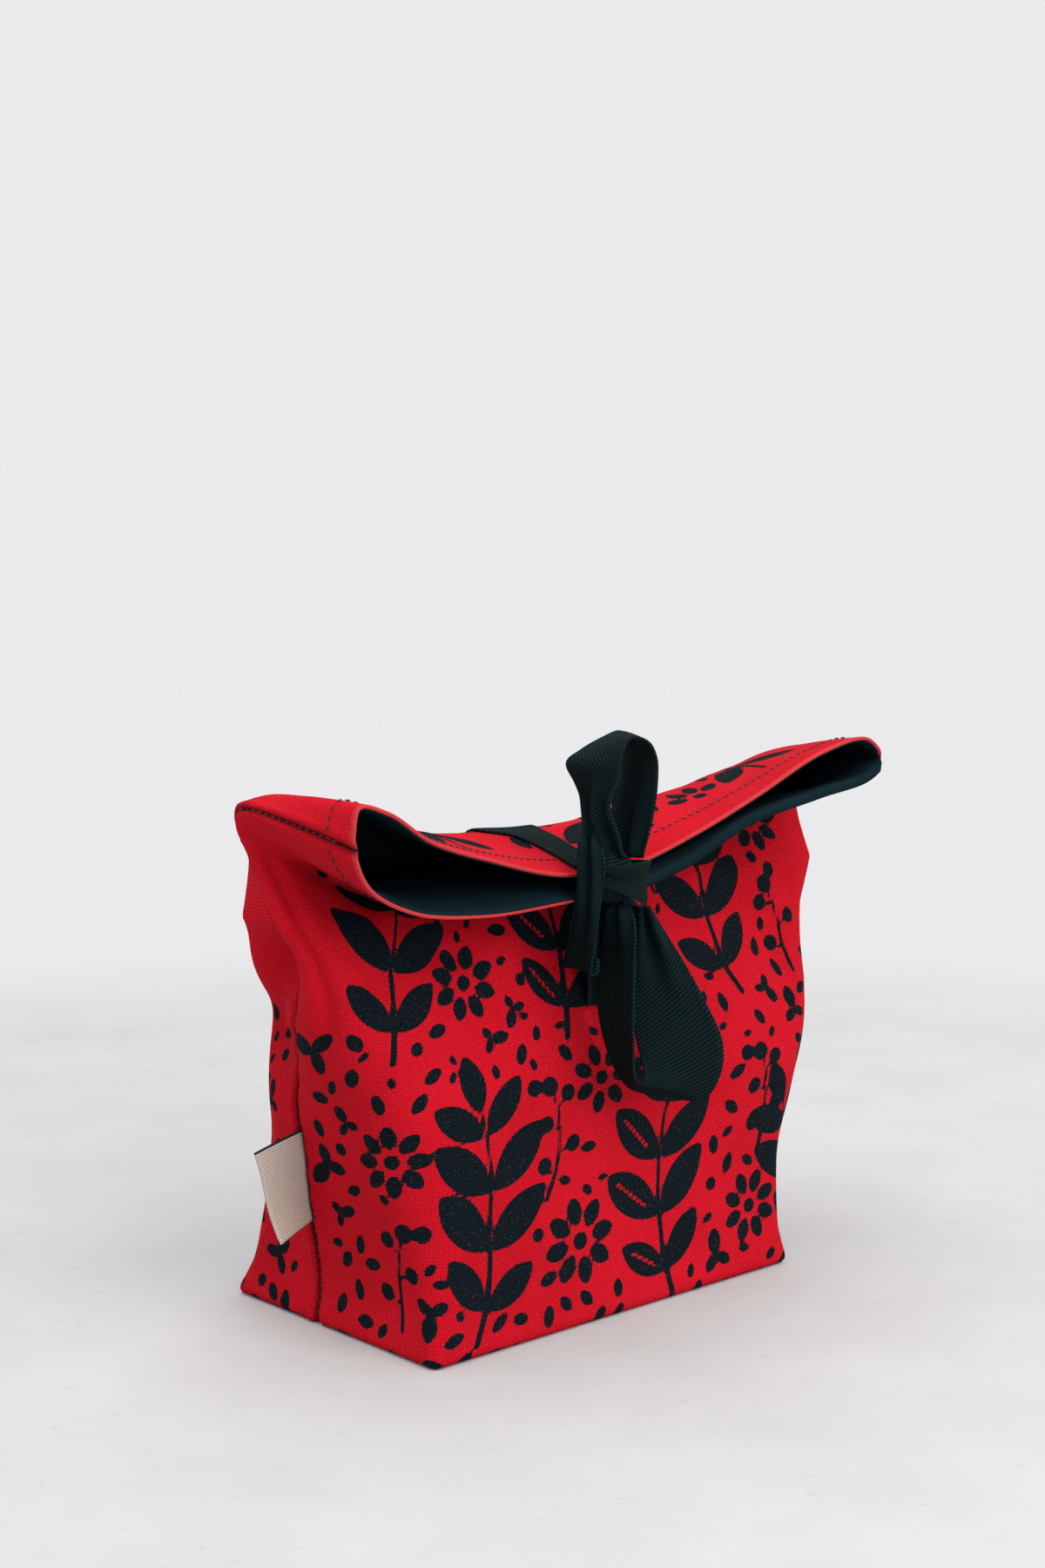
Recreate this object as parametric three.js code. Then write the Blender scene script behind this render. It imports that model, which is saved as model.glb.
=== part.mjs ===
// Fold-over canvas bag with a boxed base, a dark lining and a tape tie, in millimetres, +Z up.
// The front faces -Y. The origin is on the base, below the middle of the bag.
import * as THREE from 'three';

// Cut and cloth
const baseWidth = 168;
const baseDepth = 108;
const baseEdgeRadius = 3;
const baseSeamY = 8;           // the bottom seam lies a little behind the middle
const canvasThickness = 1.0;
const liningThickness = 0.8;
const liningClearance = 0.35;
const seamGap = 0.5;           // between two canvas panels where they are sewn
const liningSeamGap = 2;

// Body and fold
const shoulderHeight = 140;    // where the body starts to turn into the fold
const ridgeRise = 38;
const ridgeHeight = shoulderHeight + ridgeRise;
const ridgeWidth = 248;
const ridgeY = -5;
const flapReach = 53;          // from the ridge to the hem, at the ends
const foldPull = 4.5;          // how sharply the top turns at the fold
const foldPullSwing = 1.5;     // how much more sharply it turns at the front

// Tape tie
const tapeWidth = 25;
const tapeThickness = 0.9;
const tapeClearance = 1.6;     // the tape rests on the hem's stitches
const knotWidth = 23;
const knotDepth = 16;
const knotHeight = 22;
const upperLoopHeight = 46;    // from the knot's middle
const lowerLoopDrop = 79;
const leftTailLength = 32;
const rearTailLength = 46;
const backAnchorLength = 30;   // tape sewn flat on the back panel, below the shoulder
const frontTieShift = 16;      // how far right of the knot the front tie is sewn
const ribbonGap = 0.7;         // between the knot and the ribbons that come out of it

// Label and sewing thread
const labelHeight = 32;
const labelReach = 19;
const labelThickness = 1.1;
const labelCurl = 1.2;
const labelFoot = 34;          // height of its lower end on the side seam
const threadRadius = 0.3;
const threadClearance = 0.5;
const threadSides = 5;
const hemStitchInset = 11;
const hemStitchEnd = 0.03;     // how far short of the side seams it stops, round the half

// Body sections, each at a share of the shoulder height. Wider is a share of the half width
// gained from the base to the ridge, leanX of the base's width, the rest of its depth.
const bodySections = [
  { share: 0, wider: 0, deeper: 0, corner: 0.0278, leanX: -0.0149,
    leanY: 0, seamBack: 0.0741 },
  { share: 0.1, wider: -0.025, deeper: -0.0278, corner: 0.0741, leanX: 0,
    leanY: 0, seamBack: 0.0926 },
  { share: 0.27, wider: 0.0825, deeper: -0.0694, corner: 0.1296, leanX: 0.0167,
    leanY: -0.0046, seamBack: 0.1204 },
  { share: 0.42, wider: 0.29, deeper: -0.1111, corner: 0.1667, leanX: 0.044,
    leanY: -0.0139, seamBack: 0.1157 },
  { share: 0.55, wider: 0.465, deeper: -0.1389, corner: 0.1759, leanX: 0.0554,
    leanY: -0.0278, seamBack: 0.1111 },
  { share: 0.68, wider: 0.625, deeper: -0.1852, corner: 0.1759, leanX: 0.05,
    leanY: -0.037, seamBack: 0.0556 },
  { share: 0.8, wider: 0.75, deeper: -0.2407, corner: 0.1667, leanX: 0.0375,
    leanY: -0.0417, seamBack: 0 },
  { share: 1, wider: 1.15, deeper: -0.3333, corner: 0.1481, leanX: 0.0393,
    leanY: -0.0463, seamBack: -0.037 },
];

// Where each side falls in. Depth, behind (from its middle) and reach are shares of the base's
// depth, below (from the shoulder) and rise of the shoulder's height.
const gussetFalls = [
  { depth: 0.1574, behind: 0.037, reach: 0.1389, below: 0.0714, rise: 0.1071 },
  { depth: 0.1019, behind: 0.1852, reach: 0.1204, below: 0.2857, rise: 0.1143 },
];

// The fold's corner line and the hem: share of half the ridge width, then how far behind and
// above the ridge corner (fold) or the hem's end (hem), as shares of the flap's reach.
const foldBack = [
  [-0.93, 0.151, 0.094], [-0.72, 0.151, -0.019], [-0.45, 0.113, -0.198], [-0.15, 0.094, -0.236],
  [0.1, 0.094, -0.236], [0.3, 0.094, -0.179], [0.55, 0.113, -0.132], [0.78, 0.132, -0.057],
  [0.99, 0.132, 0.038],
];
const foldFront = [
  [-0.93, -0.075, -0.189], [-0.83, -0.094, -0.34], [-0.72, -0.113, -0.509],
  [-0.45, -0.094, -0.509],
  [-0.15, -0.075, -0.472], [0.1, -0.075, -0.472], [0.3, -0.075, -0.453], [0.55, -0.094, -0.396],
  [0.8, -0.075, -0.34], [1, -0.075, -0.283],
];
const foldEnds = [[-1.03, 0.094, 0.075], [1.08, 0.094, 0.038]];
const hemBack = [
  [-0.955, 0, 0.075], [-0.86, 0, 0.028], [-0.71, 0.038, -0.17], [-0.48, 0.113, -0.34],
  [-0.2, 0.208, -0.5], [0.06, 0.245, -0.509], [0.3, 0.189, -0.34], [0.5, 0.113, -0.136],
  [0.75, 0.038, 0.126], [0.93, 0, 0.189],
];
const hemFront = [
  [-0.93, 0, -0.396], [-0.78, 0.019, -0.585], [-0.55, 0.057, -0.67], [-0.25, 0.17, -0.689],
  [0.03, 0.245, -0.66], [0.25, 0.189, -0.528], [0.47, 0.113, -0.292], [0.72, 0.038, -0.16],
  [0.93, 0, -0.066],
];
const hemEnds = [[-0.97, 0, -0.17], [0.995, 0, 0.047]];

const black = new THREE.MeshStandardMaterial({ color: 0x10191d, roughness: 0.9, metalness: 0 });
const red = new THREE.MeshStandardMaterial({ color: 0xc41e2b, roughness: 0.85, metalness: 0 });
const lining = new THREE.MeshStandardMaterial({ color: 0x0c1a1e, roughness: 0.95, metalness: 0 });
const cream = new THREE.MeshStandardMaterial({ color: 0xe8dac6, roughness: 0.9, metalness: 0 });
const thread = new THREE.MeshStandardMaterial({ color: 0x5a0f18, roughness: 0.8, metalness: 0 });

const part = new THREE.Group();

// Smooth curve through evenly or unevenly spaced numbers
function smooth(rows, key, at) {
  let i = 0;
  while (i < rows.length - 2 && rows[i + 1].share < at) i += 1;
  const before = rows[Math.max(i - 1, 0)];
  const low = rows[i];
  const high = rows[i + 1];
  const after = rows[Math.min(i + 2, rows.length - 1)];
  const span = high.share - low.share;
  const slopeLow = (high[key] - before[key]) / (high.share - before.share);
  const slopeHigh = (after[key] - low[key]) / (after.share - low.share);
  const t = (at - low.share) / span;
  return THREE.MathUtils.lerp(low[key], high[key], t * t * (3 - 2 * t))
    + span * t * (1 - t) * ((1 - t) * slopeLow - t * slopeHigh);
}

// One level outline of the body. The place round it runs from -1 (left seam) through 0
// (front middle) and 1 (right seam) to 2 (back middle) and 3 (left seam again).
function bodyPoint(round, height) {
  const share = height / shoulderHeight;
  const under = Math.max(baseEdgeRadius - height, 0);
  const inset = baseEdgeRadius - Math.sqrt(baseEdgeRadius ** 2 - under ** 2);
  const gain = (ridgeWidth - baseWidth) / 2;
  const halfWidth = baseWidth / 2 + gain * smooth(bodySections, 'wider', share) - inset;
  const halfDepth = baseDepth * (0.5 + smooth(bodySections, 'deeper', share)) - inset;
  const corner = baseDepth * smooth(bodySections, 'corner', share) - inset;
  const arc = Math.PI * corner / 2;
  const quarter = halfWidth + halfDepth - 2 * corner + arc;
  const seam = baseDepth * smooth(bodySections, 'seamBack', share);
  const front = Math.abs(round) <= 1;
  const along = front ? round * (quarter + seam)
    : quarter + seam + (round - 1) * (quarter - seam);
  const signed = along > 2 * quarter ? along - 4 * quarter : along;
  const way = Math.abs(signed);
  const flat = halfWidth - corner;
  const side = 2 * (halfDepth - corner);
  let x;
  let y;
  if (way < flat) {
    x = way;
    y = -halfDepth;
  } else if (way < flat + arc) {
    const angle = (way - flat) / Math.max(corner, 1e-6);
    x = flat + corner * Math.sin(angle);
    y = -halfDepth + corner * (1 - Math.cos(angle));
  } else if (way < flat + arc + side) {
    x = halfWidth;
    y = -halfDepth + corner + way - flat - arc;
  } else if (way < flat + 2 * arc + side) {
    const angle = (way - flat - arc - side) / Math.max(corner, 1e-6);
    x = flat + corner * Math.cos(angle);
    y = halfDepth - corner + corner * Math.sin(angle);
  } else {
    x = 2 * quarter - way;
    y = halfDepth;
  }
  for (const fall of gussetFalls) {
    const beyond = ((way - quarter) / baseDepth - fall.behind) / fall.reach;
    const level = (share - 1 + fall.below) / fall.rise;
    x -= baseDepth * fall.depth * Math.exp(-(beyond ** 2) - level ** 2);
  }
  x = Math.sign(signed) * x + baseWidth * smooth(bodySections, 'leanX', share);
  return new THREE.Vector3(x, y + baseDepth * smooth(bodySections, 'leanY', share), height);
}

// A closed smooth line through the ends and the front and back rows of a list
function closedLine(ends, frontRows, backRows, y, steps) {
  const place = ([across, behind, above]) => new THREE.Vector3(
    across * ridgeWidth / 2,
    y + behind * flapReach,
    ridgeHeight + above * flapReach,
  );
  const knots = [ends[0], ...frontRows, ends[1], ...backRows.toReversed()].map(place);
  const curve = new THREE.CatmullRomCurve3(knots, true, 'centripetal');
  const turn = (frontRows.length + 1) / knots.length;
  const measure = (from, to) => {
    const points = [];
    for (let i = 0; i <= steps; i += 1) {
      points.push(curve.getPoint(THREE.MathUtils.lerp(from, to, i / steps) % 1));
    }
    const lengths = [0];
    for (let i = 1; i <= steps; i += 1) {
      lengths.push(lengths[i - 1] + points[i].distanceTo(points[i - 1]));
    }
    return { points, lengths };
  };
  const halves = [measure(0, turn), measure(turn, 1)];
  return (round) => {
    const half = round <= 1 ? halves[0] : halves[1];
    const share = round <= 1 ? (round + 1) / 2 : (round - 1) / 2;
    const target = share * half.lengths[steps];
    let i = 1;
    while (i < steps && half.lengths[i] < target) i += 1;
    const t = (target - half.lengths[i - 1]) / (half.lengths[i] - half.lengths[i - 1]);
    return half.points[i - 1].clone().lerp(half.points[i], t);
  };
}

const foldLine = closedLine(foldEnds, foldFront, foldBack, ridgeY, 400);
const hemLine = closedLine(hemEnds, hemFront, hemBack, ridgeY - flapReach, 400);

// The bag's outer face. Rise runs from -1 (bottom seam) through 0 (base edge) and 1
// (shoulder) to 2 (hem), with the fold at 1.5.
function outerPoint(round, rise) {
  const place = round > 3 ? round - 4 : round < -1 ? round + 4 : round;
  if (rise < 0) {
    const edge = bodyPoint(place, 0);
    return new THREE.Vector3(edge.x, THREE.MathUtils.lerp(edge.y, baseSeamY, -rise), 0);
  }
  if (rise <= 1) return bodyPoint(place, shoulderHeight * rise);
  const start = bodyPoint(place, shoulderHeight);
  const t = rise - 1;
  const pull = foldPull + foldPullSwing * Math.cos(Math.PI * place / 2);
  const weights = [(1 - t) ** 2, 2 * t * (1 - t) * pull, t * t];
  const total = weights[0] + weights[1] + weights[2];
  return start.multiplyScalar(weights[0])
    .addScaledVector(foldLine(place), weights[1])
    .addScaledVector(hemLine(place), weights[2])
    .divideScalar(total);
}

function outerNormal(round, rise) {
  if (rise <= 0) return new THREE.Vector3(0, 0, -1);
  const stepRound = 0.02;
  const stepRise = rise < 0.1 ? 0.002 : 0.01;
  const across = outerPoint(round + stepRound, rise).sub(outerPoint(round - stepRound, rise));
  const up = outerPoint(round, Math.min(rise + stepRise, 2))
    .sub(outerPoint(round, Math.max(rise - stepRise, 0)));
  return across.cross(up).normalize();
}

// A point at a depth under the outer face; a negative depth stands proud of it
function clothPoint(round, rise, depth) {
  return outerPoint(round, rise).addScaledVector(outerNormal(round, rise), -depth);
}

// A closed solid from a sheet of quads with an outer and an inner place for each point
function sheetSolid(outer, inner, quads) {
  const count = outer.length;
  const edges = new Map();
  const index = [];
  const addTriangle = (a, b, c) => index.push(a, b, c);
  for (const [a, b, c, d] of quads) {
    addTriangle(a, b, c);
    addTriangle(a, c, d);
    addTriangle(count + a, count + c, count + b);
    addTriangle(count + a, count + d, count + c);
    for (const [from, to] of [[a, b], [b, c], [c, d], [d, a]]) {
      if (edges.has(`${to} ${from}`)) edges.delete(`${to} ${from}`);
      else edges.set(`${from} ${to}`, [from, to]);
    }
  }
  for (const [from, to] of edges.values()) {
    addTriangle(to, from, count + from);
    addTriangle(to, count + from, count + to);
  }
  const geometry = new THREE.BufferGeometry();
  const flat = [...outer, ...inner].flatMap((p) => [p.x, p.y, p.z]);
  geometry.setAttribute('position', new THREE.Float32BufferAttribute(flat, 3));
  geometry.setIndex(index);
  geometry.computeVertexNormals();
  return geometry;
}

function addMesh(name, geometry, material) {
  const mesh = new THREE.Mesh(geometry, material);
  mesh.name = name;
  part.add(mesh);
}

// A grid of quads over rows and columns, numbered row by row
function gridQuads(rowCount, columnCount, first = 0) {
  const quads = [];
  for (let row = 0; row < rowCount - 1; row += 1) {
    for (let column = 0; column < columnCount - 1; column += 1) {
      const a = first + row * columnCount + column;
      quads.push([a, a + 1, a + 1 + columnCount, a + columnCount]);
    }
  }
  return quads;
}

function spread(from, to, steps) {
  return Array.from({ length: steps + 1 }, (_, i) => THREE.MathUtils.lerp(from, to, i / steps));
}

const mostGapShare = 0.1;
const heldRise = 1.9;          // above it the seam's gap keeps its share of the way round

// How far a place may come to a seam or to the fold, so that the sewn gap stays
function gapShare(round, rise, depth, alongRise) {
  const step = 0.01;
  const gap = depth > canvasThickness ? liningSeamGap : seamGap;
  const here = clothPoint(round, rise, depth);
  const there = alongRise ? clothPoint(round, rise + step, depth)
    : clothPoint(round + step, rise, depth);
  return Math.min(gap / 2 * step / here.distanceTo(there), mostGapShare);
}

// A place round one half, held clear of the two seams
function heldRound(round, middle, rise, depth) {
  const seam = middle + Math.sign(round - middle);
  const clear = 1 - gapShare(seam, Math.min(rise, heldRise), depth, false);
  return THREE.MathUtils.clamp(round - middle, -clear, clear) + middle;
}

const bodyRises = [0, 0.004, 0.012, 0.0286, 0.07, 0.14, 0.24, 0.36, 0.5, 0.62, 0.74, 0.85,
  0.93, 1, 1.08, 1.18, 1.28, 1.36, 1.43];
const flapRises = [1.57, 1.64, 1.73, 1.83, 1.92, 2];

// The base corner's place round the front and the back half
const halfFlat = baseWidth / 2 - baseEdgeRadius;
const frontCorner = halfFlat / (halfFlat + baseDepth / 2 - baseEdgeRadius + baseSeamY);
const backCorner = halfFlat / (halfFlat + baseDepth / 2 - baseEdgeRadius - baseSeamY);

// Columns lie closer towards the seams, where the top bends tightly
const sideColumns = [0, 0.2, 0.4, 0.58, 0.73, 0.84, 0.91, 0.96, 1];

function panelColumns(front) {
  const corner = front ? frontCorner : backCorner;
  const side = sideColumns.map((share) => THREE.MathUtils.lerp(corner, 1, share));
  const places = [...side.map((place) => -place).toReversed(),
    ...spread(-corner, corner, 8).slice(1, -1), ...side];
  return { corner, rounds: front ? places : places.map((place) => 2 + place) };
}

// A panel of the body: both halves of its gussets, the face and its share of the base
function bodyPanel(front, near, far) {
  const { corner, rounds } = panelColumns(front);
  const middle = front ? 0 : 2;
  const outer = [];
  const inner = [];
  const put = (round, rise) => {
    outer.push(clothPoint(round, rise, near));
    inner.push(clothPoint(round, rise, far));
  };
  const rises = [...bodyRises, 1.5];
  for (const rise of rises) {
    for (const round of rounds) {
      const held = heldRound(round, middle, rise, far);
      put(held, rise === 1.5 ? 1.5 - gapShare(held, 1.5, far, true) : rise);
    }
  }
  const quads = gridQuads(rises.length, rounds.length);
  const first = rounds.findIndex((round) => Math.abs(round - middle + corner) < 1e-9);
  const last = rounds.length - 1 - first;
  const baseRounds = rounds.slice(first, last + 1);
  const steps = 4;
  let above = baseRounds.map((_, i) => first + i);
  for (let row = 1; row <= steps; row += 1) {
    const start = outer.length;
    for (const round of baseRounds) {
      const edge = bodyPoint(round, 0);
      const reach = Math.abs(baseSeamY - edge.y) - seamGap / 2;
      const y = edge.y + Math.sign(baseSeamY - edge.y) * reach * row / steps;
      const x = edge.x * (1 - seamGap / 2 / halfFlat);
      outer.push(new THREE.Vector3(x, y, near));
      inner.push(new THREE.Vector3(x, y, far));
    }
    const below = baseRounds.map((_, i) => start + i);
    for (let i = 0; i < below.length - 1; i += 1) {
      quads.push([below[i], below[i + 1], above[i + 1], above[i]]);
    }
    above = below;
  }
  return sheetSolid(outer, inner, quads);
}

// A panel of the folded-over top, from the fold to the hem
function flapPanel(front, near, far) {
  const { rounds } = panelColumns(front);
  const middle = front ? 0 : 2;
  const outer = [];
  const inner = [];
  const rises = [1.5, ...flapRises];
  for (const rise of rises) {
    for (const round of rounds) {
      const held = heldRound(round, middle, rise, far);
      const level = rise === 1.5 ? 1.5 + gapShare(held, 1.5, far, true) : rise;
      outer.push(clothPoint(held, level, near));
      inner.push(clothPoint(held, level, far));
    }
  }
  return sheetSolid(outer, inner, gridQuads(rises.length, rounds.length));
}

const liningNear = canvasThickness + liningClearance;
const liningFar = liningNear + liningThickness;
addMesh('canvas_front_panel', bodyPanel(true, 0, canvasThickness), red);
addMesh('canvas_back_panel', bodyPanel(false, 0, canvasThickness), red);
addMesh('canvas_front_flap', flapPanel(true, 0, canvasThickness), red);
addMesh('canvas_back_flap', flapPanel(false, 0, canvasThickness), red);
addMesh('lining_front_panel', bodyPanel(true, liningNear, liningFar), lining);
addMesh('lining_back_panel', bodyPanel(false, liningNear, liningFar), lining);
addMesh('lining_front_flap', flapPanel(true, liningNear, liningFar), lining);
addMesh('lining_back_flap', flapPanel(false, liningNear, liningFar), lining);

// A place's share of the way round for a width across the cloth there
function roundWidth(round, rise, width) {
  const step = 0.01;
  return width * step / outerPoint(round, rise).distanceTo(outerPoint(round + step, rise));
}

// Tape lying on the cloth, along a list of [round, rise, width] places
function laidTape(places) {
  const outer = [];
  const inner = [];
  for (const [round, rise, width] of places) {
    for (const across of [-0.5, -0.25, 0, 0.25, 0.5]) {
      const at = round + across * roundWidth(round, rise, width);
      outer.push(clothPoint(at, rise, -tapeClearance - tapeThickness));
      inner.push(clothPoint(at, rise, -tapeClearance));
    }
  }
  return sheetSolid(outer, inner, gridQuads(places.length, 5));
}

// A free ribbon between two smooth edges. Each row gives one edge's place and then the other's:
// across and behind the knot as shares of the tape's width, and up as a share of the length.
function ribbon(rows, length, centre, steps) {
  const edges = [0, 3].map((first) => new THREE.CatmullRomCurve3(
    rows.map((row) => new THREE.Vector3(
      row[first] * tapeWidth,
      row[first + 1] * tapeWidth,
      row[first + 2] * length,
    ).add(centre)),
    false,
    'centripetal',
  ));
  const outer = [];
  const inner = [];
  for (let i = 0; i <= steps; i += 1) {
    const t = i / steps;
    const [near, far] = edges.map((edge) => edge.getPoint(t));
    const along = edges[0].getTangent(t).add(edges[1].getTangent(t));
    const face = near.clone().sub(far).cross(along).normalize();
    for (const across of [0, 0.25, 0.5, 0.75, 1]) {
      const place = far.clone().lerp(near, across);
      outer.push(place.clone().addScaledVector(face, tapeThickness / 2));
      inner.push(place.clone().addScaledVector(face, -tapeThickness / 2));
    }
  }
  return sheetSolid(outer, inner, gridQuads(steps + 1, 5));
}

// The back tie comes up the back panel and slants over the fold to the knot
const tieRound = 2.066;
const tieSlant = 0.06;
const gathered = tapeWidth / 2;
const foldShare = 0.02;        // half the gap at the fold, as a share of the rise
const anchorFoot = 1 - backAnchorLength / shoulderHeight;
const anchorRises = [anchorFoot, 0.86, 0.93, 1, 1.08, 1.18, 1.28, 1.36, 1.43, 1.5 - foldShare];
addMesh(
  'back_tie_anchor',
  laidTape(anchorRises.map((rise) => [tieRound + tieSlant, rise, tapeWidth])),
  black,
);
const runRises = [1.5 + foldShare, 1.57, 1.64, 1.73, 1.83, 1.92, 1.985];
const runPlaces = runRises.map((rise) => {
  const share = THREE.MathUtils.smoothstep(rise, 1.5, 2);
  const width = THREE.MathUtils.lerp(tapeWidth, gathered, share);
  return [tieRound + tieSlant * (1 - share), rise, width];
});
addMesh('back_tie_run', laidTape(runPlaces), black);

// The knot sits just in front of the hem where the back tie ends
const hemMiddle = outerPoint(tieRound, 2);
const knotCentre = new THREE.Vector3(
  hemMiddle.x,
  hemMiddle.y - tapeClearance - knotDepth / 2,
  hemMiddle.z,
);
const knot = new THREE.SphereGeometry(0.5, 20, 12);
knot.scale(knotWidth, knotDepth, knotHeight);
knot.translate(...knotCentre);
addMesh('bow_knot', knot, black);

const knotClear = knotHeight / 2 + ribbonGap;
const upperLoop = [
  [-0.046, -0.261, knotClear / upperLoopHeight, -0.192, 0.277, knotClear / upperLoopHeight],
  [-0.074, -0.257, 0.327, -0.176, 0.321, 0.301],
  [-0.178, -0.216, 0.484, -0.102, 0.416, 0.43],
  [-0.19, -0.259, 0.597, -0.092, 0.461, 0.559],
  [-0.155, -0.318, 0.703, -0.16, 0.523, 0.659],
  [-0.147, -0.325, 0.807, -0.273, 0.571, 0.793],
  [-0.109, -0.333, 0.916, -0.069, 0.521, 0.875],
  [-0.003, -0.321, 0.986, 0.232, 0.437, 0.956],
  [0.145, -0.347, 0.994, 0.467, 0.332, 1.002],
  [0.283, -0.418, 0.949, 0.558, 0.358, 0.928],
  [0.342, -0.472, 0.85, 0.561, 0.409, 0.825],
  [0.351, -0.48, 0.733, 0.511, 0.455, 0.692],
  [0.336, -0.466, 0.609, 0.449, 0.457, 0.562],
  [0.279, -0.414, 0.411, 0.377, 0.414, 0.364],
  [0.222, -0.363, knotClear / upperLoopHeight, 0.339, 0.312, knotClear / upperLoopHeight],
];
addMesh('bow_upper_loop', ribbon(upperLoop, upperLoopHeight, knotCentre, 40), black);

const lowerLoop = [
  [0.015, -0.321, -knotClear / lowerLoopDrop, -0.076, 0.061, -knotClear / lowerLoopDrop],
  [0.011, -0.388, -0.202, 0.063, 0.266, -0.223],
  [0.001, -0.433, -0.331, 0.206, 0.461, -0.378],
  [-0.005, -0.427, -0.513, 0.235, 0.488, -0.575],
  [-0.003, -0.429, -0.659, 0.325, 0.461, -0.724],
  [-0.002, -0.43, -0.754, 0.467, 0.386, -0.859],
  [0.036, -0.41, -0.827, 0.681, 0.3, -0.952],
  [0.229, -0.315, -0.868, 1, -0.096, -0.98],
  [0.413, -0.212, -0.857, 1.231, -0.521, -0.979],
  [0.5, -0.075, -0.806, 1.322, -0.765, -0.854],
  [0.496, 0.037, -0.706, 1.298, -0.798, -0.716],
  [0.47, 0.114, -0.559, 1.17, -0.628, -0.562],
  [0.423, 0.103, -0.371, 0.946, -0.371, -0.371],
  [0.39, 0.024, -0.233, 0.71, -0.211, -0.228],
  [0.337, -0.071, -knotClear / lowerLoopDrop, 0.584, -0.148, -knotClear / lowerLoopDrop],
];
addMesh('bow_lower_loop', ribbon(lowerLoop, lowerLoopDrop, knotCentre, 48), black);

const leftTail = [
  [-0.34, -0.112, -knotClear / leftTailLength, -0.436, 0.24, -0.35],
  [-0.332, -0.076, -0.516, -0.38, 0.4, -0.506],
  [-0.336, -0.016, -0.781, -0.276, 0.576, -0.806],
  [-0.352, -0.004, -1, -0.22, 0.684, -0.997],
];
addMesh('bow_left_tail', ribbon(leftTail, leftTailLength, knotCentre, 10), black);

const rearTail = [
  [-0.16, 0.216, -knotClear / rearTailLength, 0.16, 0.236, -knotClear / rearTailLength],
  [0, 0.52, -0.543, 0.38, 0.54, -0.543],
  [0.2, 0.68, -0.848, 0.6, 0.7, -0.848],
  [0.24, 0.72, -1, 0.68, 0.74, -1],
];
addMesh('bow_rear_tail', ribbon(rearTail, rearTailLength, knotCentre, 12), black);

// The front tie is sewn to the front panel and reaches up under the flap to the knot
const frontTieFoot = [
  { share: 1.4, rise: 0.8, lift: 0 },
  { share: 1.2, rise: 0.84, lift: 0.02 },
  { share: 1, rise: 0.88, lift: 0.08 },
];
const frontTieSide = new THREE.Vector3(0.8, 0.21, 0.6);
const tieRow = (place, width) => {
  const half = frontTieSide.clone().multiplyScalar(width / 2);
  return [1, -1].flatMap((sign) => [...place.clone().addScaledVector(half, sign)]);
};
const frontTie = [
  ...frontTieFoot.map(({ share, rise, lift }) => {
    const round = (knotCentre.x + frontTieShift * share) / (baseWidth / 2) * frontCorner;
    const depth = -tapeClearance - tapeThickness / 2 - lift * tapeWidth;
    return tieRow(clothPoint(round, rise, depth).sub(knotCentre).divideScalar(tapeWidth), 1);
  }),
  tieRow(new THREE.Vector3(0.6, 0.48, -0.6), 0.6),
  tieRow(new THREE.Vector3(0.4, 0.26, -0.44), 0.35),
];
addMesh('front_tie', ribbon(frontTie, tapeWidth, knotCentre, 16), black);

// The label is caught in the left side seam, clear of the seam's thread
const seamStand = threadClearance * 2 + threadRadius * 2 + labelThickness / 2;
const labelTop = new THREE.Vector3(-0.98, 0.02, -0.2);
const labelBottom = new THREE.Vector3(-0.93, -0.32, -0.14);
const labelCells = 4;
const labelOuter = [];
const labelInner = [];
for (let row = 0; row <= labelCells; row += 1) {
  const up = row / labelCells;
  const root = clothPoint(-1, (labelFoot + labelHeight * up) / shoulderHeight, -seamStand);
  const out = labelBottom.clone().lerp(labelTop, up).normalize();
  const face = out.clone().cross(new THREE.Vector3(0, 0, 1)).normalize();
  for (let column = 0; column <= labelCells; column += 1) {
    const share = column / labelCells;
    const place = root.clone().addScaledVector(out, labelReach * share)
      .addScaledVector(face, -labelCurl * share ** 2);
    labelOuter.push(place.clone().addScaledVector(face, labelThickness / 2));
    labelInner.push(place.clone().addScaledVector(face, -labelThickness / 2));
  }
}
const labelQuads = gridQuads(labelCells + 1, labelCells + 1);
addMesh('side_label', sheetSolid(labelOuter, labelInner, labelQuads), cream);

const threadDepth = -threadClearance - threadRadius;

// Sewing thread along a list of [round, rise] places, standing proud of the cloth
function threadLine(places, depth = threadDepth) {
  const centres = places.map(([round, rise]) => clothPoint(round, rise, depth));
  const last = places.length - 1;
  const positions = [];
  const index = [];
  places.forEach(([round, rise], i) => {
    const along = centres[Math.min(i + 1, last)].clone().sub(centres[Math.max(i - 1, 0)]);
    const face = outerNormal(round, rise);
    const side = along.cross(face).normalize();
    for (let k = 0; k < threadSides; k += 1) {
      const angle = 2 * Math.PI * k / threadSides;
      const place = centres[i].clone().addScaledVector(face, threadRadius * Math.cos(angle))
        .addScaledVector(side, threadRadius * Math.sin(angle));
      positions.push(...place);
    }
  });
  for (let i = 0; i < last; i += 1) {
    for (let k = 0; k < threadSides; k += 1) {
      const a = i * threadSides + k;
      const b = i * threadSides + (k + 1) % threadSides;
      index.push(a, b, b + threadSides, a, b + threadSides, a + threadSides);
    }
  }
  const end = last * threadSides;
  for (let k = 1; k < threadSides - 1; k += 1) {
    index.push(0, k + 1, k, end, end + k, end + k + 1);
  }
  const geometry = new THREE.BufferGeometry();
  geometry.setAttribute('position', new THREE.Float32BufferAttribute(positions, 3));
  geometry.setIndex(index);
  geometry.computeVertexNormals();
  return geometry;
}

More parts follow.
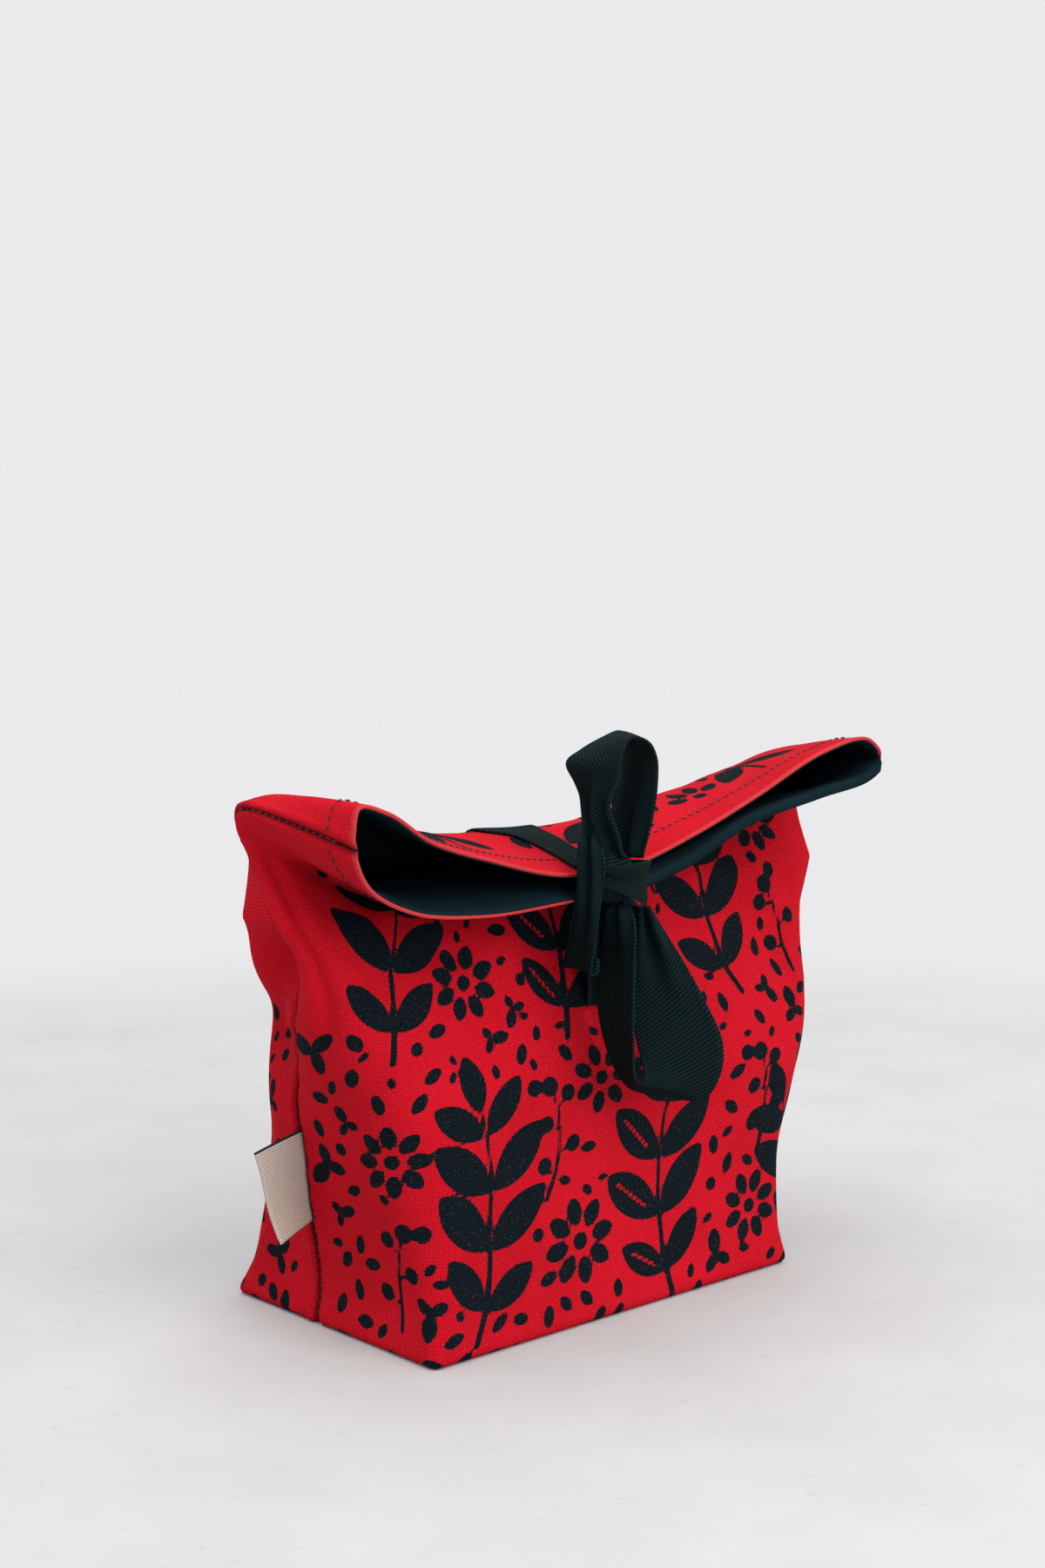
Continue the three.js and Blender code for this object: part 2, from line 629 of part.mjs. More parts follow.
// The rise at which the cloth is a given length short of the hem
function hemRise(round, inset) {
  const step = 0.01;
  let rise = 2;
  let length = 0;
  while (length < inset) {
    length += outerPoint(round, rise).distanceTo(outerPoint(round, rise - step));
    rise -= step;
  }
  return rise;
}

for (const [name, front] of [['hem_stitch_front', true], ['hem_stitch_back', false]]) {
  const middle = front ? 0 : 2;
  const rounds = panelColumns(front).rounds
    .filter((at) => Math.abs(at - middle) < 1 - hemStitchEnd);
  addMesh(name, threadLine(rounds.map((at) => [at, hemRise(at, hemStitchInset)])), thread);
}

// The side seams share their rises with the panels, so that the thread follows them closely
for (const [side, round] of [['left', -1], ['right', 1]]) {
  const lowest = 0.02;
  const body = [...bodyRises.filter((rise) => rise > lowest), 1.5 - foldShare * 2];
  const highest = hemRise(round, hemStitchInset * 1.1);
  const flap = [1.5 + foldShare * 2, ...flapRises.filter((rise) => rise < highest)];
  addMesh(`${side}_seam_thread_body`, threadLine(body.map((rise) => [round, rise])), thread);
  addMesh(`${side}_seam_thread_flap`, threadLine(flap.map((rise) => [round, rise])), thread);
}

// The back tie's sewn end: a run of stitches round a square on the tape
const stitchInset = 4;
const stitchDepth = threadDepth - tapeClearance - tapeThickness;
const boxFoot = anchorFoot + stitchInset / shoulderHeight;
const boxTop = boxFoot + (tapeWidth - 2 * stitchInset) / shoulderHeight;
const boxHalf = roundWidth(tieRound + tieSlant, 1, tapeWidth / 2 - stitchInset);
const boxPlaces = [
  ...spread(-boxHalf, boxHalf, 3).map((across) => [across, boxFoot]),
  ...spread(boxFoot, boxTop, 3).slice(1).map((rise) => [boxHalf, rise]),
  ...spread(boxHalf, -boxHalf, 3).slice(1).map((across) => [across, boxTop]),
  ...spread(boxTop, boxFoot, 3).slice(1, -1).map((rise) => [-boxHalf, rise]),
];
const boxRounds = boxPlaces.map(([across, rise]) => [tieRound + tieSlant + across, rise]);
addMesh('back_tie_stitch', threadLine(boxRounds, stitchDepth), thread);

export default part;
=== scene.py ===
import math
import bpy
import numpy as np
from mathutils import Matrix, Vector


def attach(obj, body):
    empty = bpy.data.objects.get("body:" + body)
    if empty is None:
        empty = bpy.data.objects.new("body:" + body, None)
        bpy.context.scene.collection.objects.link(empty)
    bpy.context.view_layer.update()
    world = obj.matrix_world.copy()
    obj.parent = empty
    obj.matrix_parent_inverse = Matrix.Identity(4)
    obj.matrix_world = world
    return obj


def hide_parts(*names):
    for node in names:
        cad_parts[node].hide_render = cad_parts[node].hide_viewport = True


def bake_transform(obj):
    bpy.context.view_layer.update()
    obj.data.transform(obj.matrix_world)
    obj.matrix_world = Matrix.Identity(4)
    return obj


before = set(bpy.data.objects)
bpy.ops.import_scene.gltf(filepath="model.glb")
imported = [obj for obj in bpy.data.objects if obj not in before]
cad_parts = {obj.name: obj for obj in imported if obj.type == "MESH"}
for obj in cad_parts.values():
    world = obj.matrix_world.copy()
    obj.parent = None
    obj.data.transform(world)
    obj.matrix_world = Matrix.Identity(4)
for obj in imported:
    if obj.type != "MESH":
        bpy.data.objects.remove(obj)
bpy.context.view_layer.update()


# The turn that points a camera or a lamp from its place at its target
def aimedAt(place, target):
    aim = Vector(target) - Vector(place)
    return aim.to_track_quat("-Z", "Y").to_euler()


def newObject(name, data):
    made = bpy.data.objects.new(name, data)
    bpy.context.scene.collection.objects.link(made)
    return made


# Camera where the photograph was taken from: 42 degrees left of the front, looking slightly down
cameraView = {"place": (-0.5545, -0.6093, 0.2674), "target": (0, 0, 0.175), "lens": 55}
eye = newObject("studioCamera", bpy.data.cameras.new("studioCamera"))
eye.data.sensor_fit = "VERTICAL"
eye.data.sensor_height = 36
eye.data.lens = cameraView["lens"]
eye.data.clip_start = 0.01
eye.location = cameraView["place"]
eye.rotation_euler = aimedAt(cameraView["place"], cameraView["target"])
bpy.context.scene.camera = eye

# The bag's cut and set, in millimetres, the same as the CAD's
bag = {
    "width": 168, "depth": 108, "edge": 3, "seamY": 8,
    "shoulder": 140, "ridge": 178, "ridgeWidth": 248, "ridgeY": -5, "reach": 53,
    "halfCloth": 134, "pull": 4.5, "middlePull": 1.5,  # how closely the cloth follows its fold line
}
# where each side falls in: how far behind its middle, reach, height, rise, depth
gussetFalls = [(4, 15, 130, 15, 17), (20, 13, 100, 16, 11)]
# share of the shoulder height, wider, deeper, corner, lean X, lean Y, seam's place
bodySections = np.array([
    (0, 0, 0, 3, -2.5, 0, 8),
    (0.1, -1, -3, 8, 0, 0, 10),
    (0.27, 3.3, -7.5, 14, 2.8, -0.5, 13),
    (0.42, 11.6, -12, 18, 7.4, -1.5, 12.5),
    (0.55, 18.6, -15, 19, 9.3, -3, 12),
    (0.68, 25, -20, 19, 8.4, -4, 6),
    (0.8, 30, -26, 18, 6.3, -4.5, 0),
    (1, 46, -36, 16, 6.6, -5, -4),
])
foldBack = [
    (-0.93, 8, 5), (-0.72, 8, -1), (-0.45, 6, -10.5), (-0.15, 5, -12.5), (0.1, 5, -12.5),
    (0.3, 5, -9.5), (0.55, 6, -7), (0.78, 7, -3), (0.99, 7, 2),
]
foldFront = [
    (-0.93, -4, -10), (-0.83, -5, -18), (-0.72, -6, -27), (-0.45, -5, -27), (-0.15, -4, -25),
    (0.1, -4, -25), (0.3, -4, -24), (0.55, -5, -21), (0.8, -4, -18), (1.0, -4, -15),
]
foldEnds = [(-1.03, 5, 4), (1.08, 5, 2)]
hemBack = [
    (-0.955, 0, 4), (-0.86, 0, 1.5), (-0.71, 2, -9), (-0.48, 6, -18), (-0.2, 11, -26.5),
    (0.06, 13, -27), (0.3, 10, -18), (0.5, 6, -7.2), (0.75, 2, 6.7), (0.93, 0, 10),
]
hemFront = [
    (-0.93, 0, -21), (-0.78, 1, -31), (-0.55, 3, -35.5), (-0.25, 9, -36.5), (0.03, 13, -35),
    (0.25, 10, -28), (0.47, 6, -15.5), (0.72, 2, -8.5), (0.93, 0, -3.5),
]
hemEnds = [(-0.97, 0, -9), (0.995, 0, 2.5)]


def sectionAt(column, share):
    at = bodySections[:, 0]
    low = np.clip(np.searchsorted(at, share, side="right") - 1, 0, len(at) - 2)
    value = bodySections[:, column]
    before = np.maximum(low - 1, 0)
    after = np.minimum(low + 2, len(at) - 1)
    span = at[low + 1] - at[low]
    slopeLow = (value[low + 1] - value[before]) / (at[low + 1] - at[before])
    slopeHigh = (value[after] - value[low]) / (at[after] - at[low])
    t = (share - at[low]) / span
    eased = value[low] + (value[low + 1] - value[low]) * t * t * (3 - 2 * t)
    return eased + span * t * (1 - t) * ((1 - t) * slopeLow - t * slopeHigh)


# One level outline of the body; the place runs -1 left seam, 0 front, 1 right seam, 2 back
def bodyPoint(place, height):
    share = height / bag["shoulder"]
    under = np.maximum(bag["edge"] - height, 0)
    inset = bag["edge"] - np.sqrt(bag["edge"] ** 2 - under ** 2)
    halfWidth = bag["width"] / 2 + sectionAt(1, share) - inset
    halfDepth = bag["depth"] / 2 + sectionAt(2, share) - inset
    corner = np.minimum(sectionAt(3, share), halfDepth - 0.5) - inset
    arc = math.pi * corner / 2
    quarter = halfWidth + halfDepth - 2 * corner + arc
    seam = sectionAt(6, share)
    front = np.abs(place) <= 1
    along = np.where(front, place * (quarter + seam), quarter + seam + (place - 1) * (quarter - seam))
    signed = np.where(along > 2 * quarter, along - 4 * quarter, along)
    way = np.abs(signed)
    flat = halfWidth - corner
    side = 2 * (halfDepth - corner)
    first = (way - flat) / np.maximum(corner, 1e-6)
    last = (way - flat - arc - side) / np.maximum(corner, 1e-6)
    spans = [way < flat, way < flat + arc, way < flat + arc + side, way < flat + 2 * arc + side]
    x = np.select(spans, [way, flat + corner * np.sin(first), halfWidth,
                          flat + corner * np.cos(last)], 2 * quarter - way)
    y = np.select(spans, [-halfDepth, -halfDepth + corner * (1 - np.cos(first)),
                          -halfDepth + corner + way - flat - arc,
                          halfDepth - corner + corner * np.sin(last)], halfDepth)
    for behind, reach, high, rise, depth in gussetFalls:
        beyond = (way - quarter - behind) / reach
        x = x - depth * np.exp(-(beyond ** 2) - ((height - high) / rise) ** 2)
    x = np.sign(signed) * x + sectionAt(4, share)
    return np.stack([x, y + sectionAt(5, share), height + 0 * x], -1)


# A point on a centripetal Catmull-Rom line through knots, at t from 0 to 1
def curvePoint(knots, t, closed):
    count = len(knots)
    spanCount = count if closed else count - 1
    at = np.clip(t, 0, 1) * spanCount
    low = np.minimum(np.floor(at), spanCount - 1e-9).astype(int)
    low = np.minimum(low, spanCount - 1)
    part = (at - low)[..., None]
    if closed:
        p0, p1, p2, p3 = (knots[(low + k) % count] for k in (-1, 0, 1, 2))
    else:
        padded = np.vstack([2 * knots[0] - knots[1], knots, 2 * knots[-1] - knots[-2]])
        p0, p1, p2, p3 = (padded[low + k] for k in (0, 1, 2, 3))
    d0, d1, d2 = (np.sqrt(np.linalg.norm(b - a, axis=-1))[..., None]
                  for a, b in ((p0, p1), (p1, p2), (p2, p3)))
    d0, d1, d2 = (np.maximum(d, 1e-6) for d in (d0, d1, d2))
    start = ((p1 - p0) / d0 - (p2 - p0) / (d0 + d1) + (p2 - p1) / d1) * d1
    finish = ((p2 - p1) / d1 - (p3 - p1) / (d1 + d2) + (p3 - p2) / d2) * d1
    return (p1 + start * part + (3 * (p2 - p1) - 2 * start - finish) * part ** 2
            + (2 * (p1 - p2) + start + finish) * part ** 3)


# The fold's corner line or the hem, as a function of the place round the bag
def closedLine(ends, frontRows, backRows, y, steps=400):
    rows = np.array([ends[0], *frontRows, ends[1], *backRows[::-1]], float)
    knots = np.stack([rows[:, 0] * bag["ridgeWidth"] / 2, y + rows[:, 1], bag["ridge"] + rows[:, 2]], -1)
    turn = (len(frontRows) + 1) / len(knots)
    halves = []
    for begin, end in ((0, turn), (turn, 1)):
        points = curvePoint(knots, np.linspace(begin, end, steps + 1), True)
        lengths = np.concatenate([[0], np.cumsum(np.linalg.norm(np.diff(points, axis=0), axis=1))])
        halves.append((points, lengths / lengths[-1]))

    def at(place):
        front = place <= 1
        share = np.where(front, (place + 1) / 2, (place - 1) / 2)
        sides = [np.stack([np.interp(share, lengths, points[:, k]) for k in range(3)], -1)
                 for points, lengths in halves]
        return np.where(front[..., None], sides[0], sides[1])
    return at


foldLine = closedLine(foldEnds, foldFront, foldBack, bag["ridgeY"])
hemLine = closedLine(hemEnds, hemFront, hemBack, bag["ridgeY"] - bag["reach"])


# The outer face: rise 0 base edge, 1 shoulder, 1.5 fold, 2 hem
def outerPoint(place, rise):
    place, rise = np.broadcast_arrays(np.asarray(place, float), np.asarray(rise, float))
    place = np.where(place > 3, place - 4, np.where(place < -1, place + 4, place))
    body = bodyPoint(place, bag["shoulder"] * np.clip(rise, 0, 1))
    t = np.clip(rise - 1, 0, 1)[..., None]
    pull = (bag["pull"] + bag["middlePull"] * np.cos(math.pi * place / 2))[..., None]
    weights = [(1 - t) ** 2, 2 * t * (1 - t) * pull, t * t]
    turned = body * weights[0] + foldLine(place) * weights[1] + hemLine(place) * weights[2]
    return np.where((rise <= 1)[..., None], body, turned / sum(weights))


def unit(v):
    return v / np.maximum(np.linalg.norm(v, axis=-1, keepdims=True), 1e-9)


def outerNormal(place, rise):
    place, rise = np.broadcast_arrays(np.asarray(place, float), np.asarray(rise, float))
    stepRise = np.where(rise < 0.1, 0.002, 0.01)
    across = outerPoint(place + 0.02, rise) - outerPoint(place - 0.02, rise)
    above = outerPoint(place, np.minimum(rise + stepRise, 2))
    below = outerPoint(place, np.maximum(rise - stepRise, 0))
    return unit(np.cross(across, above - below))


# Fine ripples all over the cloth, in millimetres, and the share of the rise in which they die out
rumple = {"ripple": 0.3, "calm": 0.12}
# Soft creases of the cloth: place, rise, size round, size up, slant, depth in millimetres
creases = [
    (-0.86, 0.92, 0.03, 0.26, -0.10, -3.6), (-0.93, 0.62, 0.05, 0.25, 0.06, 1.2),
    (-1.09, 0.80, 0.045, 0.05, 0.6, -3.4), (-1.12, 0.92, 0.06, 0.06, 0.3, 2.2),
    (-0.70, 0.86, 0.05, 0.05, 0.9, -1.8), (-0.72, 0.98, 0.06, 0.05, 0.5, 1.8),
    (-0.50, 0.90, 0.09, 0.03, -0.9, -2.0), (-0.36, 0.88, 0.05, 0.06, 0.6, 1.6),
    (-0.60, 1.02, 0.03, 0.10, 0.7, 1.8), (-0.80, 0.70, 0.04, 0.12, 0.35, 1.6),
    (-0.74, 0.62, 0.035, 0.12, 0.35, -1.4), (0.70, 0.90, 0.04, 0.09, -0.5, 1.6),
    (0.62, 0.82, 0.035, 0.09, -0.5, -1.4), (-0.10, 0.80, 0.04, 0.10, -0.4, 1.2),
    (-1.0, 0.92, 0.035, 0.24, 0.0, -2.6), (1.0, 0.92, 0.035, 0.24, 0.0, -2.6),
    (-0.62, 0.93, 0.10, 0.05, 0.30, 1.2), (-0.55, 0.80, 0.16, 0.035, 0.22, -0.9),
    (-0.42, 0.60, 0.14, 0.05, 0.18, 0.8), (-0.30, 0.97, 0.05, 0.10, -0.3, 0.7),
    (0.10, 0.86, 0.03, 0.14, 0.25, 0.8), (0.24, 0.90, 0.035, 0.12, -0.35, 0.8),
    (0.45, 0.84, 0.12, 0.04, -0.2, 0.9), (0.60, 0.62, 0.08, 0.06, 0.3, -0.8),
    (0.84, 0.84, 0.03, 0.28, 0.10, -1.4), (-0.20, 0.28, 0.20, 0.06, 0.1, -0.7),
    (0.30, 0.18, 0.16, 0.05, -0.12, 0.7), (-0.66, 0.14, 0.05, 0.10, 0.3, -1.0),
    (0.66, 0.14, 0.05, 0.10, -0.3, -1.0), (1.30, 0.80, 0.10, 0.06, 0.3, 1.0),
    (1.62, 0.60, 0.12, 0.06, -0.2, -0.8), (2.05, 0.88, 0.05, 0.10, 0.1, 0.8),
    (2.35, 0.70, 0.12, 0.05, 0.2, 0.9), (2.70, 0.84, 0.05, 0.22, -0.1, -1.2),
    (2.30, 0.25, 0.16, 0.05, 0.1, 0.7), (1.75, 0.22, 0.14, 0.06, -0.15, -0.7),
    (1.70, 1.80, 0.05, 0.12, 0.1, 0.7), (2.45, 1.78, 0.06, 0.12, -0.1, 0.7),
]


def creaseDepth(place, rise):
    place = np.where(place < -1, place + 4, place)
    total = 0 * place
    for at, height, wide, tall, slant, depth in creases:
        across = (place - at + 2) % 4 - 2
        up = rise - height
        total = total + depth * np.exp(-(((across - slant * up) / wide) ** 2) - (up / tall) ** 2)
    ripple = np.sin(place * 23 + rise * 7) * np.sin(rise * 19 - place * 5)
    calm = np.clip(rise / rumple["calm"], 0, 1) * np.clip((2 - rise) / rumple["calm"], 0, 1)
    return (total + rumple["ripple"] * ripple) * calm


# Side seam in millimetres: the groove it lies in, and the puckers that stand up beside it
sideSeam = {"groove": 1.5, "width": 1.3, "pucker": 0.5, "change": 0.25, "beside": 3.2, "reach": 1.6}


# The cloth at a depth under its outer face, with its creases and its sewn-in sides
def clothPoint(place, rise, depth, groove=sideSeam["groove"]):
    place, rise = np.broadcast_arrays(np.asarray(place, float), np.asarray(rise, float))
    toSeam = np.abs(((place + 1) % 2 + 1) % 2 - 1) * bag["halfCloth"]
    pucker = sideSeam["pucker"] + sideSeam["change"] * np.sin(rise * 95 + 2 * place)
    beside = (toSeam - sideSeam["beside"]) / sideSeam["reach"]
    sunk = groove * np.exp(-((toSeam / sideSeam["width"]) ** 2)) - pucker * np.exp(-(beside ** 2))
    sunk = sunk * np.clip((2.02 - rise) / 0.05, 0, 1)
    lift = creaseDepth(place, rise) - depth - sunk
    return outerPoint(place, rise) + outerNormal(place, rise) * lift[..., None]


def spreadRises(begin, end, pitch):
    table = np.linspace(begin, end, 900)
    places = np.array([-0.8, -0.3, 0.0, 0.4, 0.8, 1.6, 2.0, 2.5])
    points = outerPoint(places[None, :], table[:, None])
    steps = np.linalg.norm(np.diff(points, axis=0), axis=2).mean(1)
    lengths = np.concatenate([[0], np.cumsum(steps)])
    count = max(int(round(lengths[-1] / pitch)), 2)
    wanted = np.linspace(0, lengths[-1], count + 1)
    return np.interp(wanted, lengths, table), wanted


# A mesh from points in millimetres, with its cloth map and any values that a material reads
def buildMesh(name, points, faces, uv, values=None):
    mesh = bpy.data.meshes.new(name)
    mesh.from_pydata((points * 0.001).tolist(), [], [tuple(face) for face in faces])
    corners = np.zeros(len(mesh.loops), np.int32)
    mesh.loops.foreach_get("vertex_index", corners)
    layer = mesh.uv_layers.new(name="clothMap")
    layer.data.foreach_set("uv", (uv * 0.01)[corners].astype(np.float32).ravel())
    for key, value in (values or {}).items():
        mesh.attributes.new(key, "FLOAT", "POINT").data.foreach_set("value", value.astype(np.float32))
    mesh.polygons.foreach_set("use_smooth", [True] * len(mesh.polygons))
    return newObject(name, mesh)


def gridFaces(rows, columns, closed=False):
    across = columns if closed else columns - 1
    row, column = np.mgrid[0:rows - 1, 0:across]
    a = row * columns + column
    b = row * columns + (column + 1) % columns
    return np.stack([a, b, b + columns, a + columns], -1).reshape(-1, 4).tolist()


# A piece from a grid of points, with its flat width and length in millimetres as its cloth map
def gridPiece(name, grid, across, along, values=None):
    rows, columns = grid.shape[:2]
    u = np.repeat(across[None, :], rows, 0).ravel()
    v = np.repeat(along[:, None], columns, 1).ravel()
    return buildMesh(name, grid.reshape(-1, 3), gridFaces(rows, columns), np.stack([u, v], -1), values)


# Turns the evaluated object into a plain mesh and drops its modifiers
def settle(piece):
    bpy.context.view_layer.update()
    evaluated = piece.evaluated_get(bpy.context.evaluated_depsgraph_get())
    mesh = bpy.data.meshes.new_from_object(evaluated)
    piece.modifiers.clear()
    piece.data = mesh
    mesh.name = piece.name


def thicken(piece, thickness, offset=-1):
    solid = piece.modifiers.new("clothThickness", "SOLIDIFY")
    solid.thickness = thickness * 0.001
    solid.offset = offset
    solid.use_rim = True
    settle(piece)


# Print drawn in the flat cloth, in millimetres, as a signed distance: below 0 is ink
motifs = {"stem": 2.6, "leaf": 25, "leafWidth": 12, "leafTurn": 47, "berry": 3, "berryTurn": 62,
          "berryStalk": 6.4, "side": 120, "row": 98, "start": 6, "backStart": -24, "hem": 27, "fade": 3.0}


def stalk(x, y, heading, bend, length, steps):
    points, headings = [(x, y)], [heading]
    for step in range(steps):
        angle = math.radians(heading + bend * (step + 0.5) / steps)
        x += math.cos(angle) * length / steps
        y += math.sin(angle) * length / steps
        points.append((x, y))
        headings.append(heading + bend * (step + 1) / steps)
    return points, headings


def stemShapes(points, width):
    count = len(points) - 1
    return [("stem", *points[i], *points[i + 1], width * (1 - 0.45 * (i + 1) / count) / 2)
            for i in range(count)]


def leafShape(x, y, heading, length, width, vein=False):
    angle = math.radians(heading)
    tip = (x + math.cos(angle) * length, y + math.sin(angle) * length)
    return ("vein" if vein else "leaf", x, y, *tip, width / 2)


def sprig(x, y, heading, bend, length, pairs, size=1.0, vein=False):
    points, headings = stalk(x, y, heading, bend, length, pairs * 2)
    shapes = stemShapes(points, motifs["stem"] * size)
    for i in range(1, pairs * 2, 2):
        scale = size * (0.72 + 0.42 * math.sin(math.pi * i / (pairs * 2)))
        for side in (1, -1):
            turned = headings[i] + side * motifs["leafTurn"]
            angle = math.radians(turned)
            px, py = points[i][0] + math.cos(angle) * 1.6, points[i][1] + math.sin(angle) * 1.6
            shapes.append(leafShape(px, py, turned, motifs["leaf"] * scale,
                                    motifs["leafWidth"] * scale, vein and side > 0))
    shapes.append(leafShape(*points[-1], headings[-1], motifs["leaf"] * 0.8 * size,
                            motifs["leafWidth"] * 0.75 * size))
    return shapes


def daisy(x, y, radius, petals, turn):
    shapes = [("dot", x, y, radius * 0.2)]
    for i in range(petals):
        heading = turn + 360 * i / petals
        angle = math.radians(heading)
        start = radius * 0.34
        shapes.append(leafShape(x + math.cos(angle) * start, y + math.sin(angle) * start,
                                heading, radius - start, radius * 0.42))
    return shapes


def berryBranch(x, y, heading, bend, length, count):
    points, headings = stalk(x, y, heading, bend, length, count)
    shapes = stemShapes(points, motifs["stem"] * 0.8)
    for i in range(1, count + 1):
        turned = math.radians(headings[i] + motifs["berryTurn"] * (1 if i % 2 else -1))
        ex = points[i][0] + math.cos(turned) * motifs["berryStalk"]
        ey = points[i][1] + math.sin(turned) * motifs["berryStalk"]
        shapes.append(("stem", *points[i], ex, ey, 0.5))
        shapes.append(("dot", ex, ey, motifs["berry"]))
    shapes.append(("dot", *points[-1], motifs["berry"] * 1.15))
    return shapes


def shapeField(shape, u, v):
    if shape[0] == "dot":
        return np.hypot(u - shape[1], v - shape[2]) - shape[3]
    ax, ay, bx, by, half = shape[1:]
    dx, dy = bx - ax, by - ay
    length = math.hypot(dx, dy)
    if shape[0] == "stem":
        t = np.clip(((u - ax) * dx + (v - ay) * dy) / length ** 2, 0, 1)
        return np.hypot(u - ax - t * dx, v - ay - t * dy) - half
    rounding = half * 0.22
    r, w = length / 2 - rounding, half - rounding
    d = (r * r - w * w) / (2 * w)
    cu, cv = u - (ax + bx) / 2, v - (ay + by) / 2
    up = np.abs((cu * dx + cv * dy) / length)
    out = np.abs((cu * dy - cv * dx) / length)
    field = np.where(r * out < d * (up - r), np.hypot(out, up - r), np.hypot(out + d, up) - d - w)
    field = field - rounding
    if shape[0] == "vein":
        field = np.maximum(field, 0.7 - np.hypot(out, np.maximum(up - r * 0.62, 0)))
    return field


printRow = [
    (sprig, (-62, 0, 74, 30, 76, 4), {}),
    (sprig, (22, -4, 106, -30, 78, 4), {"vein": True}),
    (daisy, (-19, 24, 15, 8, 10), {}),
    (daisy, (-10, 78, 12.5, 7, 0), {}),
    (berryBranch, (-33, 40, 64, 50, 40, 5), {}),
    (sprig, (92, -2, 92, 26, 58, 3, 0.92), {}),
    (daisy, (60, 20, 13, 8, 22), {}),
    (berryBranch, (64, 38, 70, 44, 38, 5), {}),
    (berryBranch, (-92, 4, 100, -34, 34, 4), {}),
    (daisy, (-92, 62, 13, 8, 5), {}),
]


def addShape(field, shape, u, v, reach=34):
    near = (np.abs(u - shape[1]) < reach) & (np.abs(v - shape[2]) < reach)
    if near.any():
        field[near] = np.minimum(field[near], shapeField(shape, u[near], v[near]))


# Small leaves and a few dots in what the larger motifs leave open, which is mapped in square cells.
# Further than "gusset" from the middle there are none above "gussetTop".
filling = {"left": -132.0, "right": 134, "bottom": -60.0, "top": 420, "cell": 2, "gap": 8.5, "stray": 3,
           "gusset": 100, "gussetTop": 118, "threeLeaves": 7.5, "dot": 4.2, "leaf": 3.4, "seed": 7}


def fillers(shapes):
    random = np.random.default_rng(filling["seed"])
    u, v = np.meshgrid(np.arange(filling["left"], filling["right"], filling["cell"]),
                       np.arange(filling["bottom"], filling["top"], filling["cell"]))
    openRoom = np.full(u.shape, 14.0)
    made = []
    for shape in shapes:
        addShape(openRoom, shape, u, v, 44)
    stray = filling["stray"]
    for y in np.arange(-50, 410, filling["gap"]):
        for x in np.arange(-motifs["side"], motifs["side"] + 1, filling["gap"]):
            px, py = x + random.uniform(-stray, stray), y + random.uniform(-stray, stray)
            turn = random.uniform(0, 360)
            cellRow = int((py - filling["bottom"]) / filling["cell"])
            room = openRoom[cellRow, int((px - filling["left"]) / filling["cell"])]
            if abs(px) > filling["gusset"] and py > filling["gussetTop"]:
                continue
            new = []
            if room > filling["threeLeaves"]:
                size = min(room - 1.6, 11)
                new = [leafShape(px, py, turn + side, size * stretch, size * 0.62 * stretch)
                       for side, stretch in ((0, 1.15), (125, 0.85), (-125, 0.85))]
            elif room > filling["dot"] and turn > 300:
                new = [("dot", px, py, min(room - 2.2, 2.4))]
            elif room > filling["leaf"]:
                length = min(2 * room - 2.4, 8)
                angle = math.radians(turn)
                new = [leafShape(px - math.cos(angle) * length / 2, py - math.sin(angle) * length / 2,
                                 turn, length, min(length * 0.56, 2 * room - 3.2))]
            for shape in new:
                addShape(openRoom, shape, u, v, 30)
            made += new
    return made


# The back's rows start lower and are mirrored the other way round
def printField(u, v, front):
    start = motifs["start"] if front else motifs["backStart"]
    shapes = []
    for row in range(-1, 4):
        for make, place, words in printRow:
            x, y, *rest = place
            if row % 2 == (1 if front else 0):
                x = -x
                if make is not daisy:
                    rest[0], rest[1] = 180 - rest[0], -rest[1]
            shapes += make(x, y + row * motifs["row"] + start, *rest, **words)
    shapes = [shape for shape in shapes if abs(shape[1]) <= motifs["side"]]
    highest = v.max() - motifs["hem"]
    field = np.full(u.shape, motifs["fade"])
    for shape in shapes + fillers(shapes):
        if shape[2] <= highest:
            addShape(field, shape, u, v)
    print("print covers", round(float((field < 0).mean()), 2))
    return np.clip(field, -motifs["fade"], motifs["fade"])


def newMaterial(name, roughness, specular=0.3, sheen=0.0):
    material = bpy.data.materials.new(name)
    material.use_nodes = True
    tree = material.node_tree
    shader = tree.nodes["Principled BSDF"]
    shader.inputs["Roughness"].default_value = roughness
    shader.inputs["Specular IOR Level"].default_value = specular
    shader.inputs["Sheen Weight"].default_value = sheen
    shader.inputs["Sheen Roughness"].default_value = 0.6
    return material, tree, shader


def setSocket(tree, socket, value):
    if isinstance(value, bpy.types.NodeSocket):
        tree.links.new(value, socket)
    else:
        socket.default_value = value


# Adds a node: its inputs by name or number take a value or a socket, and the words set its choices
def addNode(tree, kind, inputs=None, **choices):
    node = tree.nodes.new(kind)
    for key, value in choices.items():
        setattr(node, key, value)
    for key, value in (inputs or {}).items():
        setSocket(tree, node.inputs[key], value)
    return node.outputs


def mathNode(tree, operation, *values):
    return addNode(tree, "ShaderNodeMath", dict(enumerate(values)), operation=operation)[0]


def mixColours(tree, factor, *colours):
    first, second = ((*colour, 1) if isinstance(colour, tuple) else colour for colour in colours)
    return addNode(tree, "ShaderNodeMix", {0: factor, 6: first, 7: second}, data_type="RGBA")[2]


def rangeNode(tree, value, low, high, newLow=0.0, newHigh=1.0):
    return addNode(tree, "ShaderNodeMapRange", dict(enumerate((value, low, high, newLow, newHigh))))[0]


def attributeNode(tree, name):
    return addNode(tree, "ShaderNodeAttribute", attribute_name=name)["Fac"]


